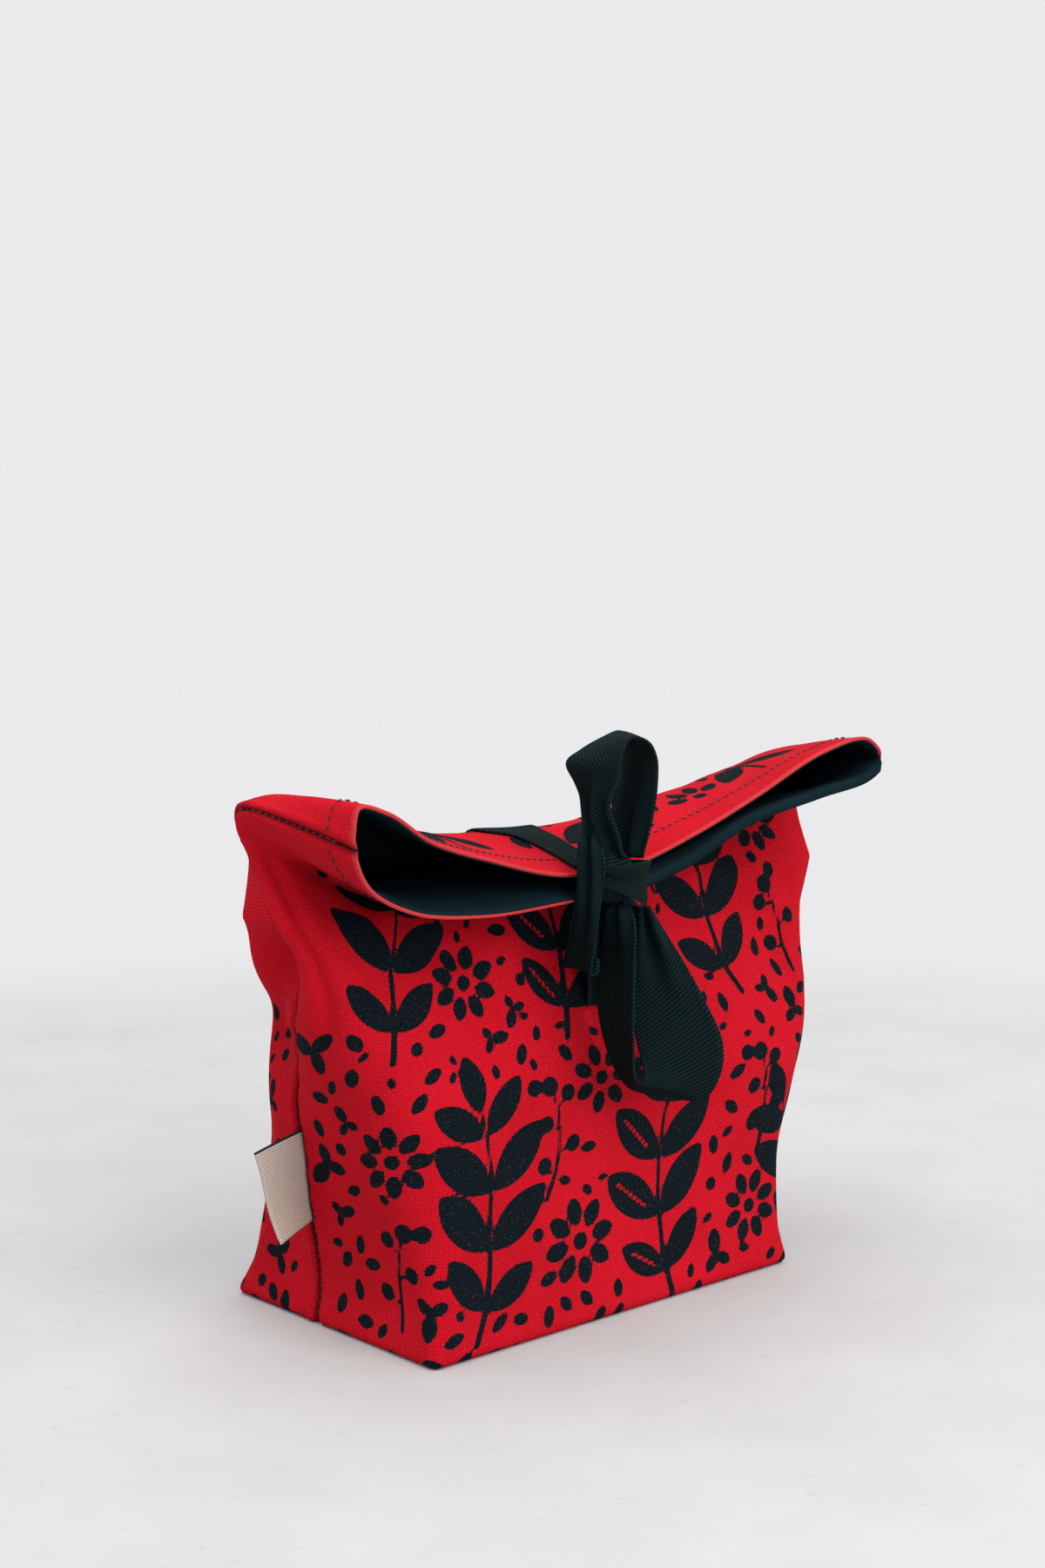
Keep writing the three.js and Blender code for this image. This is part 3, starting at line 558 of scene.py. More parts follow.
def noiseNode(tree, vector, scale, detail=3.0, roughness=0.55):
    inputs = {"Vector": vector, "Scale": scale, "Detail": detail, "Roughness": roughness}
    return addNode(tree, "ShaderNodeTexNoise", inputs)["Fac"]


def clothCoordinates(tree):
    where = addNode(tree, "ShaderNodeUVMap", uv_map="clothMap")[0]
    parts = addNode(tree, "ShaderNodeSeparateXYZ", {0: where})
    return where, parts[0], parts[1]


# Threads side by side, as round ridges, pitch in millimetres
def threadRows(tree, across, pitch):
    turns = mathNode(tree, "MULTIPLY", across, math.pi * 100 / pitch)
    return mathNode(tree, "ABSOLUTE", mathNode(tree, "SINE", turns))


# Plain weave: one bump for each crossing of the threads
def weaveHeight(tree, u, v, pitch):
    return mathNode(tree, "MULTIPLY", threadRows(tree, u, pitch), threadRows(tree, v, pitch))


# A colour with specks of lint on it
def addLint(tree, where, colour, scale, low, amount, lint):
    specks = rangeNode(tree, noiseNode(tree, where, scale, 0.0), low, 0.84, 0.0, amount)
    return mixColours(tree, specks, colour, lint)


def mixShaders(tree, factor, first, second, ending):
    mixed = addNode(tree, "ShaderNodeMixShader", {0: factor, 1: first, 2: second})[0]
    tree.links.new(mixed, tree.nodes[ending].inputs["Surface"])


# Joins a colour and a bump, its distance in metres, to the shader
def joinSurface(tree, shader, colour, height, distance):
    bump = addNode(tree, "ShaderNodeBump", {"Strength": 1.0, "Distance": distance, "Height": height})[0]
    tree.links.new(colour, shader.inputs["Base Color"])
    tree.links.new(bump, shader.inputs["Normal"])


canvasLook = {"red": (0.61, 0.006, 0.018), "deepRed": (0.48, 0.0035, 0.012), "edge": (0.64, 0.05, 0.055),
              "ink": (0.002, 0.006, 0.009), "paleInk": (0.009, 0.018, 0.024), "fleck": (0.74, 0.26, 0.22),
              "weave": 0.74, "bump": 0.00022}


def canvasMaterial(name):
    material, tree, shader = newMaterial(name, 0.9, 0.06)
    where, u, v = clothCoordinates(tree)
    weave = weaveHeight(tree, u, v, canvasLook["weave"])
    cloudy = noiseNode(tree, where, 1.6, 4.0)
    slub = noiseNode(tree, where, 190.0, 1.0)
    red = mixColours(tree, rangeNode(tree, cloudy, 0.35, 0.7), canvasLook["red"], canvasLook["deepRed"])
    # painted shade in the gaps between the threads and painted highlight on their tops: the weave height
    # scales the brightness from 0.52 to 1.12
    paintedWeaveShading = rangeNode(tree, weave, 0.05, 0.45, 0.52, 1.12)
    worn = rangeNode(tree, attributeNode(tree, "edge"), 0.0, 1.0)
    red = mixColours(tree, worn, red, canvasLook["edge"])
    ink = mixColours(tree, rangeNode(tree, slub, 0.45, 0.8), canvasLook["ink"], canvasLook["paleInk"])
    rough = rangeNode(tree, slub, 0.3, 0.7, -0.16, 0.16)
    inkEdge = mathNode(tree, "ADD", attributeNode(tree, "print"), rough)
    colour = mixColours(tree, rangeNode(tree, inkEdge, 0.12, -0.12), red, ink)
    # painted shade: the seam value darkens the red along the side seams, down to 0.12 of its brightness,
    # for the shade in the seam's groove
    sewnIn = rangeNode(tree, attributeNode(tree, "seam"), 0.0, 1.0, 1.0, 0.12)
    shade = mathNode(tree, "MULTIPLY", paintedWeaveShading, sewnIn)
    colour = addNode(tree, "ShaderNodeHueSaturation", {"Color": colour, "Value": shade})[0]
    colour = addLint(tree, where, colour, 260.0, 0.76, 0.4, canvasLook["fleck"])
    height = mathNode(tree, "ADD", weave, mathNode(tree, "MULTIPLY", slub, 0.7))
    joinSurface(tree, shader, colour, height, canvasLook["bump"])
    return material


liningLook = {"colour": (0.004, 0.0125, 0.0165), "worn": (0.006, 0.018, 0.023),
              "lint": (0.04, 0.055, 0.06), "weave": 0.6, "bump": 0.00012}


def liningMaterial():
    material, tree, shader = newMaterial("darkLining", 0.94, 0.04)
    where, u, v = clothCoordinates(tree)
    weave = weaveHeight(tree, u, v, liningLook["weave"])
    patch = rangeNode(tree, noiseNode(tree, where, 3.0), 0.35, 0.75)
    colour = mixColours(tree, patch, liningLook["colour"], liningLook["worn"])
    colour = addLint(tree, where, colour, 120.0, 0.76, 0.35, liningLook["lint"])
    joinSurface(tree, shader, colour, weave, liningLook["bump"])
    return material


# ridge is the painted highlight colour on the tops of the twill ribs
tapeLook = {"colour": (0.0012, 0.0058, 0.0066), "ridge": (0.0085, 0.027, 0.029),
            "faded": (0.005, 0.012, 0.0135), "lint": (0.05, 0.07, 0.075),
            "rib": 1.45, "thread": 0.5, "bump": 0.00045}


# Twill tape: slanting ribs, with a plain selvedge at both sides
def tapeMaterial():
    material, tree, shader = newMaterial("blackTwill", 0.88, 0.08)
    where, u, v = clothCoordinates(tree)
    slant = mathNode(tree, "ADD", mathNode(tree, "MULTIPLY", u, 0.75), v)
    turns = 2 * math.pi * 100 / tapeLook["rib"]
    wobble = mathNode(tree, "MULTIPLY", noiseNode(tree, where, 6.0), 1.6)
    phase = mathNode(tree, "ADD", mathNode(tree, "MULTIPLY", slant, turns), wobble)
    rib = rangeNode(tree, mathNode(tree, "SINE", phase), -0.6, 0.9)
    thread = threadRows(tree, u, tapeLook["thread"])
    height = mathNode(tree, "ADD", rib, mathNode(tree, "MULTIPLY", thread, 0.35))
    selvedge = rangeNode(tree, mathNode(tree, "ABSOLUTE", u), 0.108, 0.114)
    height = mathNode(tree, "MULTIPLY", height, rangeNode(tree, selvedge, 0.0, 1.0, 1.0, 0.4))
    # painted highlight: the rib tops are lightened towards the ridge colour
    paintedRibHighlight = mathNode(tree, "MULTIPLY", rib, 0.8)
    colour = mixColours(tree, paintedRibHighlight, tapeLook["colour"], tapeLook["ridge"])
    fade = rangeNode(tree, noiseNode(tree, where, 4.0), 0.4, 0.8, 0.0, 0.5)
    colour = mixColours(tree, fade, colour, tapeLook["faded"])
    colour = addLint(tree, where, colour, 140.0, 0.77, 0.4, tapeLook["lint"])
    joinSurface(tree, shader, colour, height, tapeLook["bump"])
    return material


# edge is the near-black colour of the painted shade along the label's top
labelLook = {"cream": (0.52, 0.46, 0.39), "shade": (0.32, 0.27, 0.22), "edge": (0.01, 0.014, 0.018),
             "rib": 0.95, "bump": 0.0002}


def labelMaterial():
    material, tree, shader = newMaterial("creamGrosgrain", 0.88, 0.12)
    rib = threadRows(tree, clothCoordinates(tree)[2], labelLook["rib"])
    colour = mixColours(tree, rangeNode(tree, rib, 0.0, 0.5), labelLook["shade"], labelLook["cream"])
    # painted shade: a near-black line along the top edge, for the shade inside the folded label
    paintedEdgeShade = rangeNode(tree, attributeNode(tree, "edge"), 0.4, 0.6)
    colour = mixColours(tree, paintedEdgeShade, colour, labelLook["edge"])
    joinSurface(tree, shader, colour, rib, labelLook["bump"])
    return material


def threadMaterial(name, colour):
    material, tree, shader = newMaterial(name, 0.7, 0.3, 0.1)
    worn = noiseNode(tree, addNode(tree, "ShaderNodeTexCoord")["Object"], 900.0, 2.0)
    dull = tuple(part * 0.6 for part in colour)
    mixed = mixColours(tree, rangeNode(tree, worn, 0.3, 0.7), colour, dull)
    joinSurface(tree, shader, mixed, worn, 0.00005)
    return material


materials = {
    "canvas": canvasMaterial("redCanvasPrint"),
    "lining": liningMaterial(),
    "tape": tapeMaterial(),
    "label": labelMaterial(),
    "thread": threadMaterial("redThread", (0.09, 0.004, 0.008)),
    "seamThread": threadMaterial("seamThread", (0.10, 0.004, 0.008)),
    "darkThread": threadMaterial("darkThread", (0.02, 0.025, 0.03)),
}
print("materials made")


def dress(piece, material):
    piece.data.materials.clear()
    piece.data.materials.append(materials[material])


# Adds a panel's share of the base, row by row from its bottom edge to the seam under the bag
def addBase(points, faces, u, v, above, steps, span, levelAt):
    start, startU = points[above], u[above]
    for step in range(1, steps + 1):
        share = step / steps
        row = start.copy()
        row[:, 1] += (bag["seamY"] - start[:, 1]) * share
        row[:, 2] = levelAt(share)
        below = list(range(len(points), len(points) + len(above)))
        points = np.vstack([points, row])
        u = np.concatenate([u, startU])
        v = np.concatenate([v, np.full(len(above), -share * span)])
        faces.extend((below[i], below[i + 1], above[i + 1], above[i]) for i in range(len(above) - 1))
        above = below
    return points, u, v


# Finishes a panel of canvas or lining, which bends over the fold
def finishPanel(piece, front, kind, thickness):
    thicken(piece, thickness)
    dress(piece, kind)
    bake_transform(piece)
    word = "front" if front else "back"
    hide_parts(f"{kind}_{word}_panel", f"{kind}_{word}_flap")
    print(piece.name, len(piece.data.polygons), "faces")


# Canvas: front and back panel, each with its half gussets, its share of the base and its flap
canvas = {"pitch": 1.45, "thickness": 0.5, "hemRadius": 0.65, "turnIn": 2.5, "rollStep": 0.6,
          "lipStart": -0.02, "lipEase": 0.12, "lipEnd": 0.06, "turnedLip": 1.4, "wear": 1.2,
          "baseLevel": 0.25, "baseCrease": 1.2, "seamShade": 1.4}
halfFlat = bag["width"] / 2 - bag["edge"]
cornerPlace = {
    True: halfFlat / (halfFlat + bag["depth"] / 2 - bag["edge"] + bag["seamY"]),
    False: halfFlat / (halfFlat + bag["depth"] / 2 - bag["edge"] - bag["seamY"]),
}


# How far the front lip is rolled outward, so that its lining covers the edge
def lipTurn(place):
    begun = np.clip((place - canvas["lipStart"]) / canvas["lipEase"], 0, 1)
    t = begun * np.clip((1 - place) / canvas["lipEnd"], 0, 1)
    return t * t * (3 - 2 * t)


# Rows of points that roll the hem over its edge, towards the lining
def hemRolls(places, turned):
    hem = clothPoint(places, np.full(places.shape, 2.0), 0.0)
    normal = outerNormal(places, np.full(places.shape, 2.0))
    out = unit(hem - clothPoint(places, np.full(places.shape, 1.985), 0.0))
    radius = canvas["hemRadius"]
    rolls = []
    for angle in np.radians([30, 60, 90, 120, 150, 180]):
        angles = angle * (1 - turned)
        rolls.append(hem + normal * (-radius * (1 - np.cos(angles)))[:, None]
                     + out * (radius * np.sin(angles))[:, None])
    inward = rolls[-1] - out * canvas["turnIn"]
    rolls.append(np.where((turned > 0.5)[:, None], rolls[-1] + out * 0.02, inward))
    return np.stack(rolls)


def canvasPanel(front):
    name = "canvasFront" if front else "canvasBack"
    middle = 0 if front else 2
    corner = cornerPlace[front]
    faceCount = int(2 * corner * bag["halfCloth"] / canvas["pitch"])
    sideCount = int((1 - corner) * bag["halfCloth"] / canvas["pitch"])
    sides = np.linspace(corner, 1, sideCount + 1)
    offsets = np.concatenate([-sides[::-1], np.linspace(-corner, corner, faceCount + 1)[1:-1], sides])
    places = middle + offsets
    rises, lengths = spreadRises(0, 2, canvas["pitch"])
    wear = np.clip((lengths - lengths[-1] + canvas["wear"]) / canvas["wear"], 0, 1) * 0.6
    rolls = hemRolls(places, lipTurn(places) if front else 0 * places)
    rollLengths = lengths[-1] + canvas["rollStep"] * np.arange(1, len(rolls) + 1)
    grid = np.concatenate([clothPoint(places[None, :], rises[:, None], 0.0), rolls])
    rows, columns = grid.shape[:2]
    u = np.tile(offsets * bag["halfCloth"], rows)
    v = np.repeat(np.concatenate([lengths, rollLengths]), columns)
    edge = np.repeat(np.concatenate([wear, np.ones(len(rolls))]), columns)
    points = grid.reshape(-1, 3)
    faces = gridFaces(rows, columns)
    bottom = list(range(sideCount, sideCount + faceCount + 1))
    span = abs(bag["seamY"] - points[bottom[0], 1])
    crease = canvas["baseCrease"]
    points, u, v = addBase(
        points, faces, u, v, bottom, int(span / canvas["pitch"]), span,
        lambda share: canvas["baseLevel"] + crease * math.exp(-(((1 - share) * span / crease) ** 2)))
    edge = np.concatenate([edge, np.zeros(len(points) - len(edge))])
    inkField = printField(u, v, front)
    # the seam value marks the painted shade along the side seams, fading out over seamShade millimetres;
    # the canvas material darkens the red with it
    seam = np.exp(-(((bag["halfCloth"] - np.abs(u)) / canvas["seamShade"]) ** 2))
    piece = buildMesh(name, points, faces, np.stack([u, v], -1),
                      {"print": inkField, "edge": edge, "seam": seam})
    finishPanel(piece, front, "canvas", canvas["thickness"])


canvasPanel(True)
canvasPanel(False)

# Lining: follows the canvas inside, and covers the front lip's edge where that is rolled out
lining = {"pitch": 2.6, "depth": 1.25, "thickness": 0.5, "groove": 1.0, "rollRadius": 1.5,
          "rollLift": 0.5, "rollStep": 0.7, "baseLevel": 2.1, "baseSteps": 16, "baseLength": 80}


def liningPanel(front):
    name = "liningFront" if front else "liningBack"
    middle = 0 if front else 2
    offsets = np.linspace(-1, 1, int(2 * bag["halfCloth"] / lining["pitch"]) + 1)
    places = middle + offsets * 0.998
    rises, lengths = spreadRises(0.02, 2, lining["pitch"])
    grid = clothPoint(places[None, :], rises[:, None], lining["depth"], lining["groove"])
    normal = outerNormal(places, np.full(places.shape, 2.0))
    hem = grid[-1]
    before = clothPoint(places, np.full(places.shape, 1.98), lining["depth"], lining["groove"])
    out = unit(hem - before)
    turned = (lipTurn(places) if front else 0 * places)[:, None]
    radius = lining["rollRadius"]
    rolls = []
    for angle in np.radians([20, 50, 80, 110, 140, 170]):
        swung = angle * turned
        rolls.append(hem + normal * (radius * (1 - np.cos(swung)))
                     + out * (lining["rollLift"] * turned + radius * np.sin(swung)))
    rolls.append(rolls[-1] - out * canvas["turnedLip"] * turned)
    grid = np.concatenate([grid, np.stack(rolls)])
    rollLengths = lengths[-1] + lining["rollStep"] * np.arange(1, len(rolls) + 1)
    rows, columns = grid.shape[:2]
    u = np.tile(offsets * bag["halfCloth"], rows)
    v = np.repeat(np.concatenate([lengths, rollLengths]), columns)
    faces = gridFaces(rows, columns)
    bottom = np.nonzero(np.abs(offsets) <= cornerPlace[front])[0].tolist()
    points, u, v = addBase(grid.reshape(-1, 3), faces, u, v, bottom, lining["baseSteps"],
                           lining["baseLength"], lambda share: lining["baseLevel"])
    piece = buildMesh(name, points, faces, np.stack([u, v], -1))
    finishPanel(piece, front, "lining", lining["thickness"])


liningPanel(True)
liningPanel(False)

# Tape: 25 mm twill, laid over the fold at the back and tied in a bow at the front
tape = {"width": 25, "thickness": 0.75, "round": 2.066, "slant": 0.06, "foot": 30, "lift": 0.75,
        "gather": 0.5, "knot": (-10.93, -55.29, 150.28)}
knotCentre = np.array(tape["knot"])


# A width in millimetres as a share of the way round, in places
def roundWidth(place, rise, width, step=0.01):
    across = outerPoint(place, rise) - outerPoint(place + step, rise)
    return width * step / np.linalg.norm(across, axis=-1)


# Ribbon between two edges. Each row is one edge's place, the other's, the depth of the gathers
# and how far the middle stands proud, all from the knot's middle.
def ribbonMesh(name, rows, steps=70, across=21, waves=2):
    table = np.array(rows, float)
    near = curvePoint(table[:, 0:3] + knotCentre, np.linspace(0, 1, steps + 1), False)
    far = curvePoint(table[:, 3:6] + knotCentre, np.linspace(0, 1, steps + 1), False)
    at = np.linspace(0, len(rows) - 1, steps + 1)
    gather = np.interp(at, np.arange(len(rows)), table[:, 6])
    crown = np.interp(at, np.arange(len(rows)), table[:, 7])
    line = (near + far) / 2
    span = near - far
    width = np.linalg.norm(span, axis=1)
    face = unit(np.cross(span, np.gradient(line, axis=0)))
    s = np.linspace(-0.5, 0.5, across)
    slack = np.maximum(tape["width"] / width, 1)
    depth = gather * width / (2 * math.pi) * np.sqrt(slack - 1)
    ripple = np.cos(2 * math.pi * waves * s[None, :] + 0.8 * np.sin(at)[:, None]) * depth[:, None]
    ripple = ripple + crown[:, None] * (1 - (2 * s[None, :]) ** 2)
    grid = line[:, None, :] + span[:, None, :] * s[None, :, None] + face[:, None, :] * ripple[..., None]
    lengths = np.concatenate([[0], np.cumsum(np.linalg.norm(np.diff(line, axis=0), axis=1))])
    return gridPiece(name, grid, s * tape["width"], lengths), lengths[-1]


def finishTape(piece, nodes):
    thicken(piece, tape["thickness"], 0)
    dress(piece, "tape")
    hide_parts(*nodes)


# A piece of the bow that moves with one body and stands for one node
def tieRibbon(name, rows, node, body, *shape):
    piece, length = ribbonMesh(name, rows, *shape)
    finishTape(piece, (node,))
    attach(piece, body)


# The back tie follows the cloth, so it bends over the fold with it
def backTie():
    foot = 1 - tape["foot"] / bag["shoulder"]
    rises, lengths = spreadRises(foot, 1.99, 1.6)
    lead = np.clip((rises - 1.5) / 0.5, 0, 1)
    lead = lead * lead * (3 - 2 * lead)
    centre = tape["round"] + tape["slant"] * (1 - lead)
    s = np.linspace(-0.5, 0.5, 15)
    narrow = 1 - 0.5 * lead
    width = tape["width"] * narrow
    places = centre[:, None] + s[None, :] * roundWidth(centre, np.minimum(rises, 1.95), width)[:, None]
    gathered = tape["gather"] * np.clip((rises - 1.9) / 0.1, 0, 1)
    lift = tape["lift"] + gathered[:, None] * np.cos(4 * math.pi * s)[None, :]
    normals = outerNormal(places, rises[:, None] + 0 * places)
    grid = clothPoint(places, rises[:, None], 0.0, 0.0) + normals * lift[..., None]
    piece = gridPiece("backTie", grid, s * tape["width"], lengths)
    finishTape(piece, ("back_tie_anchor", "back_tie_run"))
    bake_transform(piece)


backTie()

upperRows = [
    (-0.1, -6.7, 6.6, -5.9, 4, 6, 0.9, 0),
    (-1.8, -6.4, 15, -4.4, 8, 13.8, 0.9, 0.4),
    (-4.5, -5.4, 22.3, -2.6, 10.4, 19.8, 0.8, 0.6),
    (-4.8, -6.5, 27.5, -2.3, 11.5, 25.7, 0.6, 0.8),
    (-3.9, -8, 32.3, -4, 13.1, 30.3, 0.3, 0.8),
    (-3.7, -8.1, 37.1, -6.8, 14.3, 36.5, 0.1, 0.5),
    (-2.7, -8.3, 42.1, -1.7, 13, 40.3, 0, 0.5),
    (-0.1, -8, 45.3, 5.8, 10.9, 44, 0, 0.3),
    (3.6, -8.7, 45.7, 11.7, 8.3, 46.1, 0, 0.3),
    (7.1, -10.4, 43.6, 14, 8.9, 42.7, 0, 0.3),
    (8.6, -11.8, 39.1, 14, 10.2, 38, 0, 0.3),
    (8.8, -12, 33.7, 12.8, 11.4, 31.9, 0.3, 0.4),
    (8.4, -11.6, 28, 11.2, 11.4, 25.8, 0.6, 0.4),
    (7, -10.4, 18.9, 9.4, 10.4, 16.8, 0.8, 0.3),
    (4.5, -8.1, 6.3, 7.2, 4.3, 4.8, 0.9, 0),
]
tieRibbon("upperLoop", upperRows, "bow_upper_loop", "upper_loop", 96)

lowerRows = [
    (0.4, -7.1, -9.4, -3, 0, -9.9, 0.9, 0),
    (0.3, -9.7, -16, 1.6, 6.7, -17.6, 0.7, 0.5),
    (0, -10.8, -26.1, 5.2, 11.5, -29.8, 0.3, 1.2),
    (-0.1, -10.7, -40.5, 5.9, 12.2, -45.4, 0, 1.4),
    (-0.1, -10.7, -52.1, 8.1, 11.5, -57.2, 0, 1.2),
    (0, -10.7, -59.6, 11.7, 9.7, -67.9, 0, 0.8),
    (0.9, -10.3, -65.3, 17, 7.5, -75.2, 0, 0.3),
    (5.7, -7.9, -68.6, 25, -2.4, -77.5, 0, 0),
    (10.3, -5.3, -67.7, 30.8, -13, -77.4, 0, 0.3),
    (12.5, -1.9, -63.6, 33.1, -19.1, -67.4, 0, 0.6),
    (12.4, 0.9, -55.8, 32.5, -19.9, -56.6, 0, 0.8),
    (11.8, 2.8, -44.2, 29.2, -15.7, -44.4, 0.3, 0.8),
    (10.6, 2.6, -29.3, 23.7, -9.3, -29.3, 0.7, 0.5),
    (9.8, 0.6, -18.4, 17.7, -5.3, -18, 0.9, 0),
    (8.3, -2.1, -10.9, 14.4, -3.6, -11.4, 0.9, 0),
]
tieRibbon("lowerLoop", lowerRows, "bow_lower_loop", "lower_loop", 120)

# The hanging end comes off the back tie, over the knot's left side, and has a turned hem
leftRows = [
    (-2, 3.1, 13.2, -3.4, 11.2, 14.3, 0.8, 0),
    (-7.3, -2.8, 10, -9.7, 6.1, 10.8, 0.7, 0.3),
    (-8.3, -4.6, 4.3, -11.3, 4.9, 4.8, 0.7, 0.5),
    (-8.7, -4.3, -3.1, -11.2, 5.4, -1.6, 0.7, 0.5),
    (-8.6, -3, -10.1, -11.5, 6.3, -8.6, 0.6, 0.5),
    (-8.3, -1.9, -16.5, -9.5, 10, -16.2, 0.4, 0.6),
    (-8.4, -0.4, -25, -6.9, 14.4, -25.8, 0.15, 0.8),
    (-8.8, -0.1, -32, -5.5, 17.1, -31.9, 0, 0.8),
    (-7.6, -1.5, -31.6, -4.3, 15.9, -31.5, 0, 0.8),
    (-7.3, -1.8, -26.5, -4.6, 14.6, -26.5, 0, 0.8),
]
leftTail, leftLength = ribbonMesh("leftTail", leftRows, 80)
finishTape(leftTail, ("bow_left_tail",))
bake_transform(leftTail)

rearRows = [
    (-4, 4, -8, 4, 4.5, -8, 1, 0),
    (0, 13, -25, 9.5, 13.5, -25, 0.8, 0),
    (5, 17, -39, 15, 17.5, -39, 0.5, 0),
    (6, 18, -47, 17, 18.5, -47, 0.3, 0),
]
tieRibbon("rearTail", rearRows, "bow_rear_tail", "flap", 30)

frontRows = [
    (43.6, 26.6, -35.5, 23.6, 21.4, -50.5, 0, 0),
    (40, 24.6, -25.5, 20, 19.4, -40.5, 0, 0),
    (34, 20.6, -17.5, 14, 15.4, -32.5, 0, 0),
    (21, 13.6, -10.5, 9, 10.4, -19.5, 0.6, 0),
    (13.5, 7.4, -8.4, 6.5, 5.6, -13.6, 1, 0),
]
tieRibbon("frontTie", frontRows, "front_tie", "bag", 30)

# Knot: gathered tape with one band wrapped over it, wider towards the right
bandRows = [
    (-4.3, 1.2, 6, -4.3, 1.2, 0, 0.3, 0),
    (-6.4, -3.8, 4.4, -6.2, -3.8, -3.0, 0.25, 0.4),
    (-4.1, -9, 4.4, -3.6, -8.6, -4.6, 0.2, 0.9),
    (0.2, -11.7, 5.4, 0.8, -10.9, -7.0, 0.18, 1.2),
    (5.5, -11, 5.6, 5.6, -10.2, -9.0, 0.2, 1.2),
    (9.4, -7.8, 5.0, 9, -7.2, -9.4, 0.22, 0.9),
    (10.3, -2, 4.4, 9.8, -2, -7.8, 0.3, 0.5),
    (6.9, 3.2, 4, 6.5, 3, -6, 0.4, 0),
]
tieRibbon("knotBand", bandRows, "bow_knot", "flap", 60, 25, 1.5)


# The gathered tape inside the band, as one rounded piece with shallow pleats
core = {"across": 8.4, "deep": 6.4, "tall": 9.4, "pole": 9.5, "pleats": 6, "pleatDepth": 0.05}


def knotCore():
    rows, columns = 24, 40
    a = np.linspace(0.06, math.pi - 0.06, rows)[:, None]
    b = np.linspace(0, 2 * math.pi, columns + 1)[:-1][None, :]
    shape = 1 + core["pleatDepth"] * np.cos(core["pleats"] * b) * np.sin(a)
    grid = np.stack([core["across"] * np.sin(a) * np.cos(b) * shape,
                     core["deep"] * np.sin(a) * np.sin(b) * shape,
                     core["tall"] * np.cos(a) + 0 * b], -1)
    poles = [[0, 0, core["pole"]], [0, 0, -core["pole"]]]
    points = np.vstack([grid.reshape(-1, 3), poles]) + knotCentre
    faces = gridFaces(rows, columns, closed=True)
    faces = [tuple(reversed(f)) for f in faces]
    top, bottom = rows * columns, rows * columns + 1
    for k in range(columns):
        faces.append((top, k, (k + 1) % columns))
        last = (rows - 1) * columns
        faces.append((bottom, last + (k + 1) % columns, last + k))
    u = np.concatenate([np.repeat((b / (2 * math.pi) * 10)[0][None, :], rows, 0).ravel(), [0, 0]])
    v = np.concatenate([np.repeat(a * 9, columns, 1).ravel(), [0, 28]])
    return buildMesh("knotCore", points, faces, np.stack([u, v], -1))


knotMiddle = knotCore()
dress(knotMiddle, "tape")
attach(knotMiddle, "flap")
print("tape tied")

# Label: folded grosgrain caught in the left side seam, left blank
label = {"foot": 34, "height": 32, "reach": 19, "sewnIn": 1.4, "sunk": 0.9, "curl": 1.2, "wave": 0.5,
         "thickness": 0.9}


def sideLabel():
    outTop = np.array([-0.98, 0.02, -0.2])
    outBottom = np.array([-0.93, -0.32, -0.14])
    rows, columns = 33, 20
    up = np.linspace(0, 1, rows)
    share = np.linspace(0, 1, columns)
    rises = (label["foot"] + label["height"] * up) / bag["shoulder"]
    root = clothPoint(np.full(rows, -1.0), rises, label["sunk"], 0.0)
    out = unit(outBottom[None, :] * (1 - up)[:, None] + outTop[None, :] * up[:, None])
    face = unit(np.cross(out, np.array([0, 0, 1.0])[None, :]))
    wave = label["wave"] * np.sin(up * 5)
    bend = -label["curl"] * share[None, :] ** 2 + wave[:, None] * share[None, :]
    reached = share * (label["reach"] + label["sewnIn"])
    grid = (root[:, None, :] + out[:, None, :] * reached[None, :, None]
            + face[:, None, :] * bend[..., None])
    # the edge value marks the top row, which the label material paints near-black as shade
    edge = np.repeat((up > 0.985).astype(float), columns)
    made = gridPiece("sideLabel", grid, share * label["reach"], up * label["height"], {"edge": edge})
    thicken(made, label["thickness"], 0)
    dress(made, "label")
    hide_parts("side_label")
    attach(made, "label")


sideLabel()
print("label sewn in")

# Stitches: a run of short threads along lines on the cloth, made with Geometry Nodes
stitches = {"hemInset": 11, "hemPitch": 3.2, "hemLength": 2.5, "seamPitch": 3.0, "seamLength": 2.9,
            "boxPitch": 2.8, "boxLength": 2.1, "width": 0.6, "unevenness": 0.18, "seed": 3}


